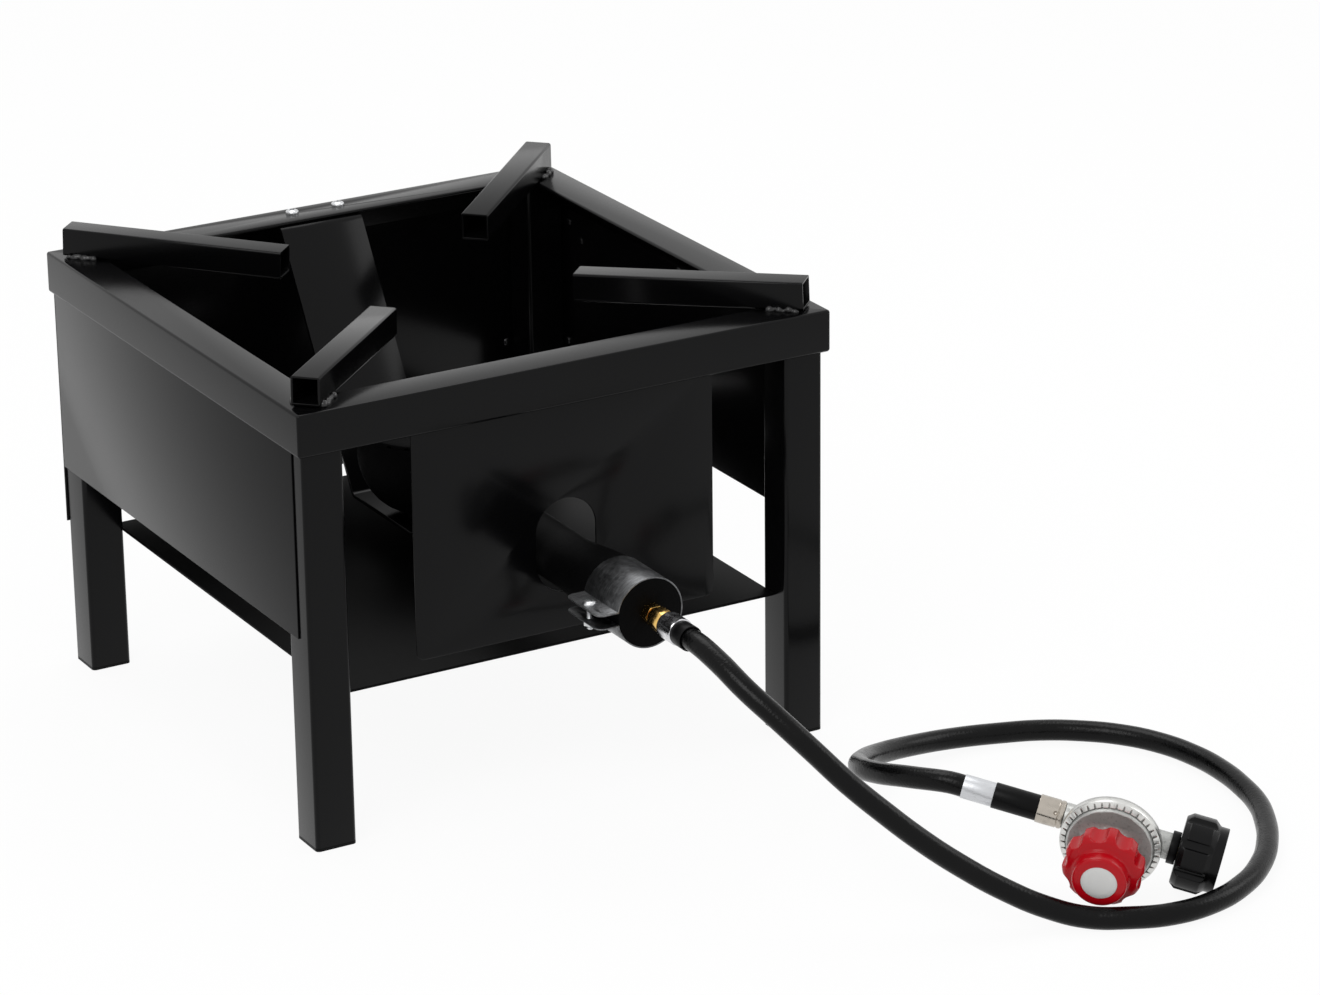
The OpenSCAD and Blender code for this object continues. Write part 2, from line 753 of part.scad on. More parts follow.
// Two sectors that cut the air windows on the lower right of the bell
module air_windows(span) {
    for (s = [-0.5, 0.5])
        rotate([0, 0, window_turn + s * window_step])
            linear_extrude(window_len) sector(span, bell_r + 10);
}
module burner_cap() {
    spigot_out = head_r - bowl_wall - slack;
    seat = bowl_rim - column_gap;
    color("#202022") on_head() difference() {
        rotate_extrude($fn = 128) polygon(concat(
            [[0, seat], [column_r, seat], [column_r, bowl_rim], [spigot_out - spigot_w, bowl_rim]],
            [[spigot_out - spigot_w, bowl_rim - spigot_h], [spigot_out, bowl_rim - spigot_h]],
            [[spigot_out, bowl_rim], [head_r - 0.5, bowl_rim], [head_r - 0.5, cap_edge - 0.5]],
            [for (i = [8:-1:2]) [(head_r - 1) * i / 8, cap_edge + cap_crown * (1 - pow(i / 8, 2))]],
            [[column_r, cap_top], [0, cap_top]]
        ));
        translate([0, 0, seat - 1]) cylinder(h = cap_top - seat + 2, d = bolt_d + 4 * slack, $fn = 48);
        for (i = [0:notches - 1])
            rotate([0, 0, 360 * i / notches])
                translate([spigot_out - spigot_w - 1, -port_d / 2, bowl_rim - spigot_h + 1])
                    cube([bowl_wall + spigot_w + 4, port_d, spigot_h + cap_t / 2 - 1]);
        cap_ports(inner_ports, head_r * 0.42);
        cap_ports(outer_ports, head_r * 0.68);
    }
}
module cap_ports(count, r) {
    for (i = [0:count - 1])
        rotate([0, 0, 360 * i / count]) translate([r, 0, bowl_rim - 1])
            cylinder(h = cap_t + cap_crown + 2, d = port_d, $fn = 24);
}
module burner_bolt() {
    tail = strap_t + washer_t + big_nut_h + bolt_tail;
    color("#8f9195") on_head() {
        translate([0, 0, cap_top]) hexagon(big_nut_af, big_head_h);
        translate([0, 0, boss_z - tail]) cylinder(h = cap_top - boss_z + tail, d = bolt_d, $fn = 48);
    }
}
module burner_washer() {
    color("#a0a2a5") on_head() translate([0, 0, boss_z - strap_t - washer_t])
        ring(washer_r, bolt_d / 2 + slack, washer_t);
}
module burner_nut() {
    color("#a0a2a5") on_head() translate([0, 0, boss_z - strap_t - washer_t - big_nut_h])
        hex_nut(big_nut_af, big_nut_h, bolt_d);
}

// Sheet band that turns on the bell, with two ears drawn together by a screw
module air_shutter() {
    band_in = bell_r + shutter_gap;
    band_out = band_in + shutter_t;
    color("#b4b8bb") on_tube() difference() {
        linear_extrude(shutter_len) {
            difference() {
                circle(band_out, $fn = 96);
                circle(band_in, $fn = 96);
                translate([-band_out - 1, -ear_gap / 2]) square([band_out, ear_gap]);
            }
            for (s = [-1, 1])
                translate([-ear_reach, s > 0 ? ear_gap / 2 : -ear_gap / 2 - shutter_t])
                    square([ear_reach - band_in + 0.6, shutter_t]);
        }
        translate([0, 0, window_at])
            rotate([0, 0, -shutter_cover]) air_windows(window_arc);
        for (z = [0, 1])
            translate([-ear_reach, 0, z * shutter_len]) ear_corner(z == 0 ? 1 : -1);
        translate([-clamp_reach, 0, shutter_len / 2]) rotate([90, 0, 0])
            cylinder(h = 2 * ear_gap, d = screw_d + 2 * slack, center = true, $fn = 32);
    }
}
// What is cut away to round one outer corner of both ears
module ear_corner(z) {
    translate([0, 2 * ear_gap, 0]) rotate([90, 0, 0]) linear_extrude(4 * ear_gap) difference() {
        translate([-1, z > 0 ? -1 : -ear_r]) square([ear_r + 1, ear_r + 1]);
        translate([ear_r, z * ear_r]) circle(ear_r, $fn = 48);
    }
}
module at_clamp(z) {
    on_tube(shutter_len / 2) rotate([90, 0, 0]) translate([-clamp_reach, 0, z]) children();
}
module shutter_screw() {
    color("#c2c4c6") at_clamp(ear_gap / 2 + shutter_t)
        pan_screw(ear_gap + 2 * shutter_t + small_nut_h + screw_tail);
}
module shutter_nut() {
    color("#b0b2b5") at_clamp(-ear_gap / 2 - shutter_t - small_nut_h)
        hex_nut(small_nut_af, small_nut_h, screw_d);
}

// Brass jet fitting: spud in the end plate, hexagon and flared neck
module gas_orifice() {
    color("#c9a04e") difference() {
        union() {
            on_tube(-jet_hex) hexagon(jet_af, jet_hex);
            on_tube() cylinder(h = spud_len, r = spud_r - 0.05, $fn = 48);
            on_tube(-jet_hex - jet_neck) cylinder(h = jet_neck, r1 = neck_r - 1, r2 = neck_r, $fn = 48);
        }
        on_tube(-jet_hex - jet_neck - 1) cylinder(h = jet_hex + jet_neck + spud_len - 1, r = jet_bore, $fn = 32);
        on_tube(spud_len - 3) cylinder(h = 4, r = 0.6, $fn = 24);
    }
}
module flare_nut() {
    color("#c9a04e") on_tube(-ferrule_from) difference() {
        intersection() {
            hexagon(nut_af, nut_len);
            rotate_extrude($fn = 64) polygon([
                [0, 0], [nut_af / 2, 0], [nut_af / 2 + 1.4, 1.6],
                [nut_af / 2 + 1.4, nut_len - 1.6], [nut_af / 2, nut_len], [0, nut_len],
            ]);
        }
        translate([0, 0, nut_len - jet_neck - 1]) cylinder(h = jet_neck + 2, r = neck_r + 0.1, $fn = 48);
        translate([0, 0, -1]) cylinder(h = nut_len + 2, r = stub_r + 0.1, $fn = 48);
    }
}
// A crimped shell with its stub; the shell starts at the origin and the stub points up
module ferrule(stub, stub_length) {
    difference() {
        rotate_extrude($fn = 64) polygon([
            [0, 0], [ferrule_r - 0.8, 0], [ferrule_r, 0.8], [ferrule_r, ferrule_len * 0.3],
            [ferrule_r - 0.5, ferrule_len * 0.36], [ferrule_r, ferrule_len * 0.42],
            [ferrule_r, ferrule_len - 1.5], [ferrule_r - 1.5, ferrule_len], [stub, ferrule_len],
            [stub, ferrule_len + stub_length], [0, ferrule_len + stub_length],
        ]);
        translate([0, 0, 2]) cylinder(h = ferrule_len + stub_length, r = jet_bore, $fn = 32);
    }
}
module hose_ferrule_burner() {
    color("#c8ccce") on_tube(-hose_from) ferrule(stub_r, nut_len - jet_neck - 2);
}
module hose_sleeve_burner() {
    color("#131314") on_tube(-hose_from - sleeve_len) ring(sleeve_r, sleeve_bore, sleeve_len);
}

// Rubber hose as one tube along its route, square to both ferrules
module hose() {
    start = [burner_x, stand_y + bell_face - hose_from, tube_z];
    finish = -outlet_len - ferrule_len;
    ends = [for (x = [finish - 2 * end_run, finish - end_run, finish]) reg_world([x, port_back, 0])];
    route = concat([start, start - [0, start_run, 0]], hose_route, ends);
    color("#1d1d1f") swept_tube(route, hose_d / 2, hose_sides);
}
module hose_ferrule_regulator() {
    color("#b9b2a6") on_port(-outlet_len - ferrule_len) ferrule(boss_out / 2 + 0.4, 9);
}
module hose_sleeve_regulator() {
    color("#161617") on_port(-outlet_len - ferrule_len - long_sleeve)
        ring(sleeve_r, sleeve_bore, long_sleeve);
}
module hose_label_band() {
    color("#bfc1c3") on_port(-outlet_len - ferrule_len - long_sleeve - label_len)
        ring(band_r, sleeve_bore, label_len);
}

// Die-cast rear half of the housing: bowl, valve barrel and the two ports
module regulator_body() {
    color("#9b9c98") difference() {
        union() {
            on_disc(-port_back) rotate_extrude($fn = 96) polygon([
                [0, -13], [9, -13], [10, -12], [10, -10], [15, -10], [16, -9], [16, 3], [20, 5.5], [25, 9.5],
                [26.5, port_back + ring_back], [flange_r, port_back + ring_back],
                [flange_r, port_back + body_flange], [0, port_back + body_flange],
            ]);
            on_port(-outlet_len) cylinder(h = outlet_len + inlet_len, r = boss_out, $fn = 64);
        }
        on_disc() rotate_extrude($fn = 96) polygon([
            [0, -10], [14, -10], [22, -6], [22, body_flange + 1], [0, body_flange + 1],
        ]);
        on_disc(-port_back - 6) cylinder(h = 16, r = 4, $fn = 48);
        on_disc(-port_back) translate([-11, 0, 0]) cylinder(h = 10, r = 2, $fn = 32);
        on_port(-outlet_len - 1) cylinder(h = 11, r = boss_out / 2 + 0.5, $fn = 48);
        on_port(-outlet_len) cylinder(h = outlet_len - 10, r = 2.5, $fn = 32);
        on_port() cylinder(h = inlet_len + 1, r = 2.5, $fn = 32);
        on_port(26) cylinder(h = inlet_len, r = 6, $fn = 48);
    }
}
// Steel ring folded over both flanges; its front edge is cut into teeth
module crimp_ring() {
    inner = disc_r - ring_t;
    color("#b3b4b0") difference() {
        on_disc() rotate_extrude($fn = 128) polygon([
            [27.5, ring_back - ring_t], [disc_r - 0.4, ring_back - ring_t], [disc_r, ring_back - ring_t + 0.4],
            [disc_r, ring_edge], [tooth_in, tooth_tip], [tooth_in - 0.3, tooth_tip - ring_t],
            [inner, ring_front + 0.05], [inner, ring_back - 0.05], [27.5, ring_back - 0.05],
        ]);
        for (i = [0:teeth - 1])
            on_disc(ring_front + 0.6) rotate([0, 0, 360 * (i + 0.5) / teeth]) translate([tooth_in - 1, 0, 0])
                tooth_gap();
    }
}
// A notch between two teeth, wider towards the middle of the disc
module tooth_gap() {
    depth = disc_r - tooth_in;
    linear_extrude(4) polygon([[0, -0.9], [depth, -0.45], [depth, 0.45], [0, 0.9]]);
}
// Front half of the housing: flange, raised face and neck
module regulator_bonnet() {
    color("#a6a7a3") on_disc() difference() {
        rotate_extrude($fn = 128) polygon(concat(
            [[0, bonnet_flange], [flange_r, bonnet_flange], [flange_r, ring_front - 0.4]],
            [[flange_r - 0.4, ring_front], [face_r, ring_front], [face_r, face_d]],
            [[face_r - 0.6, face_d + 0.6], [face_r - 1.4, face_d + 0.6], [face_r - 2, face_d]],
            [[neck_out + 4, face_d], [neck_out, face_d + 3], [neck_out, neck_d - 1]],
            [[neck_out - 1, neck_d], [0, neck_d]]
        ));
        rotate_extrude($fn = 96) polygon([
            [0, bonnet_flange - 1], [22, bonnet_flange - 1], [22, face_d - 2.4], [spring_bore, face_d - 0.9],
            [spring_bore, neck_d - neck_wall], [0, neck_d - neck_wall],
        ]);
        cylinder(h = neck_d + 1, r = adjust_r + 0.05, $fn = 48);
    }
}
// Rubber diaphragm clamped between the flanges, with one moulded fold
module diaphragm() {
    color("#26262a") on_disc() rotate_extrude($fn = 96) polygon(concat(
        [[0, body_flange], [16.5, body_flange]],
        arc([18.5, body_flange], 2, 180, 0, 6),
        [[flange_r, body_flange], [flange_r, bonnet_flange], [21.5, bonnet_flange]],
        arc([18.5, bonnet_flange], 3, 0, 180, 6),
        [[0, bonnet_flange]]
    ));
}
module diaphragm_plate() {
    color("#b8babd") on_disc(bonnet_flange) {
        cylinder(h = plate_d - bonnet_flange, r = plate_r, $fn = 64);
        cylinder(h = plate_d - bonnet_flange + 3, r = 4, $fn = 48);
    }
}
module adjusting_spring() {
    steps = 16 * spring_turns;
    coil = [
        for (i = [0:steps])
            let(a = 360 * i / 16)
                [spring_r * cos(a), spring_r * sin(a), spring_seat + spring_pitch * i / 16]
    ];
    color("#c0c2c4") on_disc() swept_tube(coil, spring_wire, 8);
}
// Plate on the adjusting screw's tip that presses the spring
module spring_button() {
    color("#c9a04e") on_disc(screw_tip - button_h)
        cylinder(h = button_h, r = spring_bore - 0.3, $fn = 64);
}
module valve_stem() {
    color("#c9a04e") on_disc(-port_back - 5) {
        cylinder(h = body_flange + port_back + 5, r = 1.5, $fn = 32);
        cylinder(h = 3, r = 3.2, $fn = 48);
    }
}
module adjusting_screw() {
    color("#b9bbbe") on_disc(screw_tip) cylinder(h = knob_front - 4 - screw_tip, r = adjust_r, $fn = 48);
}
// Red knob: a fluted skirt that tapers into a round boss, hollow at the back
module regulator_knob() {
    shoulder = knob_back + 16;
    color("#b3121d") on_disc() difference() {
        intersection() {
            rotate_extrude($fn = 128) polygon(concat(
                [[0, knob_back], [knob_r - 1.8, knob_back], [knob_r - 1, knob_back + 0.8]],
                arc([knob_r - 5, knob_back + 10], 5, 0, 60, 5),
                [[knob_boss + 0.8, shoulder + 1], [knob_boss, shoulder + 3], [knob_boss, knob_front - 2]],
                arc([knob_boss - 2, knob_front - 2], 2, 15, 90, 5),
                [[0, knob_front]]
            ));
            linear_extrude(knob_front + 1) difference() {
                circle(knob_r + 1, $fn = 96);
                for (i = [0:lobes - 1])
                    rotate(360 * i / lobes) translate([knob_r + flute_r - flute_depth, 0])
                        circle(flute_r, $fn = 48);
            }
        }
        translate([0, 0, knob_back - 1]) cylinder(h = knob_hollow - knob_back + 1, r = knob_boss - 1.2, $fn = 96);
        translate([0, 0, knob_hollow - 1]) cylinder(h = knob_front - 3 - knob_hollow, r = adjust_r + 0.05, $fn = 48);
        translate([0, 0, knob_front - dial_recess]) cylinder(h = 2, r = dial_r + 0.1, $fn = 96);
    }
}
module knob_disc() {
    color("#e9e9e7") on_disc(knob_front - dial_recess) cylinder(h = dial_t, r = dial_r, $fn = 96);
}

// Brass nipple on which the tank nut turns between the collar and a keeper flange
module inlet_nipple() {
    keeper_end = keeper_at + keeper_len;
    color("#c9a04e") on_port() difference() {
        rotate_extrude($fn = 64) polygon([
            [0, 26.2], [5.9, 26.2], [5.9, collar_at], [7, collar_at], [7, collar_at + collar_len],
            [nipple_r, collar_at + collar_len], [nipple_r, keeper_at], [collar_r, keeper_at],
            [collar_r, keeper_end], [nipple_r, keeper_end], [nipple_r, keeper_end + nose_len * 0.6],
            [5, keeper_end + nose_len], [0, keeper_end + nose_len],
        ]);
        translate([0, 0, 25]) cylinder(h = keeper_end + nose_len - 24, r = 2, $fn = 32);
    }
}
module nipple_seal() {
    color("#222224") on_port(keeper_at + keeper_len) ring(collar_r - 1, nipple_r + 0.05, 3);
}
module nut_collar() {
    color("#111112") on_port(collar_at) ring(collar_r, 7.05, collar_len);
}
// Black hand nut with grip grooves, a web that runs on the nipple and a threaded mouth
module tank_nut() {
    end = web_at + tank_len;
    near_r = nut_r - 3;
    color("#121213") on_port() difference() {
        intersection() {
            rotate_extrude($fn = 96) polygon([
                [0, web_at], [near_r, web_at], [nut_r, web_at + bevel_in],
                [nut_r, web_at + bevel_in + lobe_len], [near_r - 0.5, web_at + bevel_in + lobe_len + bevel_out],
                [near_r - 0.5, end], [0, end],
            ]);
            linear_extrude(end + 1) difference() {
                circle(nut_r + 1, $fn = 96);
                for (i = [0:grooves - 1])
                    rotate(360 * i / grooves) translate([nut_r + groove_r - groove_depth, 0])
                        circle(groove_r, $fn = 32);
            }
        }
        translate([0, 0, web_at - 1]) cylinder(h = web_t + 2, r = nipple_r + run_gap, $fn = 64);
        translate([0, 0, web_at + web_t]) cylinder(h = tank_len, r = tank_bore, $fn = 96);
    }
}

rim_front();
rim_rear();
rim_left();
rim_right();
leg_front_left();
leg_front_right();
leg_rear_left();
leg_rear_right();
foot_caps();
pot_arm_front_left();
pot_arm_front_right();
pot_arm_rear_left();
pot_arm_rear_right();
wind_panel_left();
wind_panel_right();
wind_panel_rear();
front_panel();
shelf_plate();
weld_beads();
tack_welds();
burner_strap();
strap_screws();
strap_nuts();
burner_body();
burner_cap();
burner_bolt();
burner_washer();
burner_nut();
air_shutter();
shutter_screw();
shutter_nut();
gas_orifice();
flare_nut();
hose_ferrule_burner();
hose_sleeve_burner();
hose();
hose_label_band();
hose_sleeve_regulator();
hose_ferrule_regulator();
regulator_body();
crimp_ring();
regulator_bonnet();
diaphragm();
diaphragm_plate();
adjusting_spring();
spring_button();
valve_stem();
adjusting_screw();
regulator_knob();
knob_disc();
inlet_nipple();
nipple_seal();
nut_collar();
tank_nut();
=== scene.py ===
import logging
import math
from dataclasses import dataclass, field
from enum import Enum
from typing import Callable, Mapping, Sequence, Union

import bpy
from mathutils import Matrix, Vector


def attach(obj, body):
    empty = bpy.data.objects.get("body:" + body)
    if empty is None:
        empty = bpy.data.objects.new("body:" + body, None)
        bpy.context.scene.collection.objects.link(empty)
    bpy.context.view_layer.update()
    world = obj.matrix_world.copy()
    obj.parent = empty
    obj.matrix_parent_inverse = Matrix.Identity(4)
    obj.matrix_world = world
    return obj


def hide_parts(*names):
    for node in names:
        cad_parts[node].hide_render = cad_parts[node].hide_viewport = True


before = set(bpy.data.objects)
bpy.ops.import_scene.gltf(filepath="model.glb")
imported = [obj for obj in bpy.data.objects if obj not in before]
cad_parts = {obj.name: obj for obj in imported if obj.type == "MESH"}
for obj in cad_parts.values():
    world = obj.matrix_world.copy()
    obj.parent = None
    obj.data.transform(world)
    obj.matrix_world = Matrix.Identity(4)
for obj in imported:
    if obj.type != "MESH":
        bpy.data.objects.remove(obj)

LOG = logging.getLogger("burner")
MM = 0.001
TOUCH = 1e-5  # metres within which a point counts as on a face
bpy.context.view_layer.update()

Colour = tuple[float, float, float]
Profile = Sequence[tuple[float, float]]
Bores = Sequence[tuple[float, float, float]]  # radius, start and end of each
PointTest = Callable[[Vector], bool]
Piece = bpy.types.Object


def spot(x: float, y: float, z: float) -> Vector:
    """A point given in millimetres, in metres."""
    return Vector((x, y, z)) * MM


# Shader maths


class Signal:
    """One output socket; the operators on it add Math nodes."""

    def __init__(self, graph: "Graph", socket: bpy.types.NodeSocket) -> None:
        """Wraps the socket of a graph."""
        self.graph = graph
        self.socket = socket

    def worked(self, operation: str, *values: "Value") -> "Signal":
        """The result of one Math node, fed with the values in order."""
        made = self.graph.node("ShaderNodeMath", {"operation": operation}, dict(enumerate(values)))
        return Signal(self.graph, made.outputs[0])

    def __add__(self, other: "Value") -> "Signal":
        """self + other."""
        return self.worked("ADD", self, other)

    def __radd__(self, other: "Value") -> "Signal":
        """other + self."""
        return self.worked("ADD", other, self)

    def __sub__(self, other: "Value") -> "Signal":
        """self - other."""
        return self.worked("SUBTRACT", self, other)

    def __rsub__(self, other: "Value") -> "Signal":
        """other - self."""
        return self.worked("SUBTRACT", other, self)

    def __mul__(self, other: "Value") -> "Signal":
        """self * other."""
        return self.worked("MULTIPLY", self, other)

    def __rmul__(self, other: "Value") -> "Signal":
        """other * self."""
        return self.worked("MULTIPLY", other, self)

    def over(self, low: float, high: float) -> "Signal":
        """A smooth step.

        Args:
            low: where the step is 0.
            high: where it is 1.

        Returns:
            The step.
        """
        made = self.graph.node(
            "ShaderNodeMapRange",
            {"interpolation_type": "SMOOTHSTEP"},
            {"Value": self, "From Min": low, "From Max": high},
        )
        return Signal(self.graph, made.outputs[0])

    def most(self, other: "Value") -> "Signal":
        """The larger of the two."""
        return self.worked("MAXIMUM", self, other)


Value = Union[float, Signal]


class Graph:
    """The nodes of one material or of the world."""

    def __init__(self, owner: Union[bpy.types.Material, bpy.types.World]) -> None:
        """Turns the owner's nodes on."""
        owner.use_nodes = True
        self.tree = owner.node_tree

    def node(
        self,
        kind: str,
        settings: Mapping[str, object],
        inputs: Mapping[Union[int, str], object],
    ) -> bpy.types.Node:
        """Adds a node.

        Args:
            kind: the node's type.
            settings: its own properties, set before its inputs.
            inputs: values or signals for its sockets, by number or name.

        Returns:
            The new node.
        """
        made = self.tree.nodes.new(kind)
        for name, setting in settings.items():
            setattr(made, name, setting)
        for key, given in inputs.items():
            self.feed(made.inputs[key], given)
        return made

    def feed(self, socket: bpy.types.NodeSocket, given: object) -> None:
        """Links a signal to a socket, or sets the socket to a value.

        Args:
            socket: the input.
            given: the signal or the value.
        """
        if isinstance(given, Signal):
            self.tree.links.new(given.socket, socket)
        elif socket.type == "RGBA" and len(given) == 3:
            socket.default_value = (*given, 1.0)
        else:
            socket.default_value = given

    def places(self, stretch: Sequence[float] = (1, 1, 1), turn: Sequence[float] = (0, 0, 0)) -> Signal:
        """The point on the object, squeezed along its axes and turned.

        Args:
            stretch: the pattern's scale along each axis.
            turn: its rotation about each axis, in radians.

        Returns:
            The point.
        """
        start = self.node("ShaderNodeTexCoord", {}, {})
        moved = self.node(
            "ShaderNodeMapping",
            {},
            {"Vector": Signal(self, start.outputs["Object"]), "Rotation": turn, "Scale": stretch},
        )
        return Signal(self, moved.outputs[0])

    def noise(self, at: Signal, size: float, detail: float = 2.0, rough: float = 0.5) -> Signal:
        """Cloudy noise.

        Args:
            at: the point.
            size: the width of its lumps, in metres.
            detail: how many finer layers it has.
            rough: how strong the finer layers are.

        Returns:
            The noise, about 0.5 on average.
        """
        made = self.node(
            "ShaderNodeTexNoise", {}, {"Vector": at, "Scale": 1 / size, "Detail": detail, "Roughness": rough}
        )
        return Signal(self, made.outputs[0])

    def cells(self, at: Signal, size: float) -> Signal:
        """Distance from the middle of Voronoi cells about size metres wide."""
        made = self.node("ShaderNodeTexVoronoi", {"feature": "F1"}, {"Vector": at, "Scale": 1 / size})
        return Signal(self, made.outputs["Distance"])

    def mixed(self, part: Value, first: object, second: object) -> Signal:
        """A colour between two colours."""
        made = self.node("ShaderNodeMix", {"data_type": "RGBA"}, {0: part, 6: first, 7: second})
        return Signal(self, made.outputs[2])

    def bumped(self, height: Signal, depth: float) -> Signal:
        """A surface normal raised by a height of up to depth metres."""
        made = self.node("ShaderNodeBump", {}, {"Height": height, "Distance": depth, "Strength": 1.0})
        return Signal(self, made.outputs[0])

    def watched(self) -> Signal:
        """1 for what the camera sees, straight, mirrored or through glass, and otherwise 0.

        Returns:
            The share.
        """
        path = self.node("ShaderNodeLightPath", {}, {})
        rays = ("Is Camera Ray", "Is Glossy Ray", "Is Transmission Ray")
        camera, mirror, through = (Signal(self, path.outputs[ray]) for ray in rays)
        return camera.most(mirror).most(through)


# Finishes


@dataclass(frozen=True)
class Finish:
    """A surface finish with one colour and one gloss."""

    slot: str
    colour: Colour
    roughness: float
    metallic: float = 0.0
    ior: float = 1.45

    def material(self) -> bpy.types.Material:
        """The finish's material, made the first time it is asked for.

        Returns:
            The material, named after the finish and its slot.
        """
        name = type(self).__name__ + "_" + self.slot
        known = bpy.data.materials.get(name)
        if known is not None:
            return known
        made = bpy.data.materials.new(name)
        graph = Graph(made)
        shader = graph.tree.nodes["Principled BSDF"]
        shader.inputs["Base Color"].default_value = (*self.colour, 1.0)
        shader.inputs["Roughness"].default_value = self.roughness
        shader.inputs["Metallic"].default_value = self.metallic
        shader.inputs["IOR"].default_value = self.ior
        for name, given in self.surface(graph).items():
            graph.feed(shader.inputs[name], given)
        return made

    def surface(self, graph: Graph) -> dict[str, Signal]:
        """What changes over the surface, by the name of the shader's socket."""
        raise NotImplementedError

    def shade(self, factor: float) -> Colour:
        """The finish's colour, lighter or darker."""
        return tuple(min(1.0, c * factor) for c in self.colour)


@dataclass(frozen=True)
class PowderCoat(Finish):
    """Baked black enamel: glossy, with orange peel, faint streaks and a few nibs."""

    peel: float = 0.0022

    def surface(self, graph: Graph) -> dict[str, Signal]:
        """Peel, broad gloss changes, dust nibs and rubbed patches.

        Args:
            graph: the material's nodes.

        Returns:
            The signals, by the name of the shader's socket.
        """
        at = graph.places()
        peel = graph.noise(at, self.peel, 1.0)
        broad = graph.noise(at, 0.06, 3.0)
        nibs = 1 - graph.cells(at, 0.016).over(0.01, 0.04)
        rubs = graph.noise(graph.places((1, 1, 7)), 0.02, 4.0, 0.7).over(0.62, 0.8)
        return {
            "Base Color": graph.mixed(rubs * 0.5 + nibs * 0.3, self.colour, self.shade(1.8)),
            "Roughness": self.roughness + (broad - 0.5) * 0.05 + rubs * 0.06,
            "Normal": graph.bumped(peel + nibs * 0.15, 0.00001),
        }


@dataclass(frozen=True)
class SootedCoat(PowderCoat):
    """The same enamel, darker and duller: painted shade, standing in for the shade inside the stand under the
    burner.
    """


@dataclass(frozen=True)
class CastIron(Finish):
    """Sand-cast iron under thin black paint: grainy, with small pits."""

    def surface(self, graph: Graph) -> dict[str, Signal]:
        """Sand grain, pits and dull patches.

        Args:
            graph: the material's nodes.

        Returns:
            The signals, by the name of the shader's socket.
        """
        at = graph.places()
        sand = graph.noise(at, 0.0013, 4.0, 0.65)
        pits = graph.cells(at, 0.004).over(0.0, 0.28)
        broad = graph.noise(at, 0.025, 3.0)
        return {
            "Base Color": graph.mixed(sand.over(0.35, 0.8), self.shade(0.7), self.shade(1.6)),
            "Roughness": self.roughness + (broad - 0.5) * 0.2 + (sand - 0.5) * 0.15,
            "Normal": graph.bumped(sand * 0.7 + pits * 0.5, 0.00022),
        }


@dataclass(frozen=True)
class Galvanised(Finish):
    """Zinc-dipped sheet with spangle, rolling lines and scratches."""

    def surface(self, graph: Graph) -> dict[str, Signal]:
        """Spangle cells, lines round the band, scratches and stains.

        Args:
            graph: the material's nodes.

        Returns:
            The signals, by the name of the shader's socket.
        """
        at = graph.places()
        spangle = graph.cells(at, 0.0035)
        lines = graph.noise(graph.places((1, 14, 1)), 0.007, 5.0, 0.75)
        scratch = graph.noise(graph.places((1, 30, 1), (0.02, 0.0, 0.03)), 0.02, 4.0, 0.8).over(0.58, 0.68)
        stain = graph.noise(at, 0.012, 4.0, 0.6)
        tone = graph.mixed(stain.over(0.4, 0.75), self.colour, self.shade(0.5))
        worn = graph.mixed(lines.over(0.4, 0.7), tone, self.shade(2.2))
        return {
            "Base Color": graph.mixed(scratch * 0.7, worn, self.shade(0.35)),
            "Roughness": self.roughness + (stain - 0.5) * 0.3 + (spangle - 0.4) * 0.15,
            "Normal": graph.bumped(lines * 0.6 + scratch * 0.5, 0.00005),
        }


@dataclass(frozen=True)
class TurnedMetal(Finish):
    """Machined or plated metal with fine marks and a little tarnish."""

    tarnish: float = 0.6
    mark: float = 0.00025

    def surface(self, graph: Graph) -> dict[str, Signal]:
        """Fine marks, smears and tarnished patches.

        Args:
            graph: the material's nodes.

        Returns:
            The signals, by the name of the shader's socket.
        """
        at = graph.places()
        marks = graph.noise(graph.places((1, 3, 1)), self.mark, 3.0, 0.7)
        patch = graph.noise(at, 0.006, 4.0, 0.6)
        dull = patch.over(0.45, 0.75)
        return {
            "Base Color": graph.mixed(dull * 0.7, self.colour, self.shade(self.tarnish)),
            "Roughness": self.roughness + dull * 0.14 + (marks - 0.5) * 0.1,
            "Normal": graph.bumped(marks, 0.000012),
        }


@dataclass(frozen=True)
class DieCast(Finish):
    """Die-cast zinc: mottled grey with flow marks and small dents."""

    def surface(self, graph: Graph) -> dict[str, Signal]:
        """Flow marks, mottling and dents.

        Args:
            graph: the material's nodes.

        Returns:
            The signals, by the name of the shader's socket.
        """
        at = graph.places()
        mottle = graph.noise(at, 0.0022, 5.0, 0.7)
        flow = graph.noise(at, 0.011, 3.0)
        dents = graph.cells(at, 0.003).over(0.0, 0.35)
        dark = mottle.over(0.5, 0.72)
        tone = graph.mixed(dark * 0.75, self.colour, self.shade(0.42))
        return {
            "Base Color": graph.mixed(flow.over(0.5, 0.7) * 0.5, tone, self.shade(1.25)),
            "Roughness": self.roughness + (mottle - 0.5) * 0.4 + (flow - 0.5) * 0.2,
            "Normal": graph.bumped(mottle * 0.6 + dents * 0.5, 0.00016),
        }


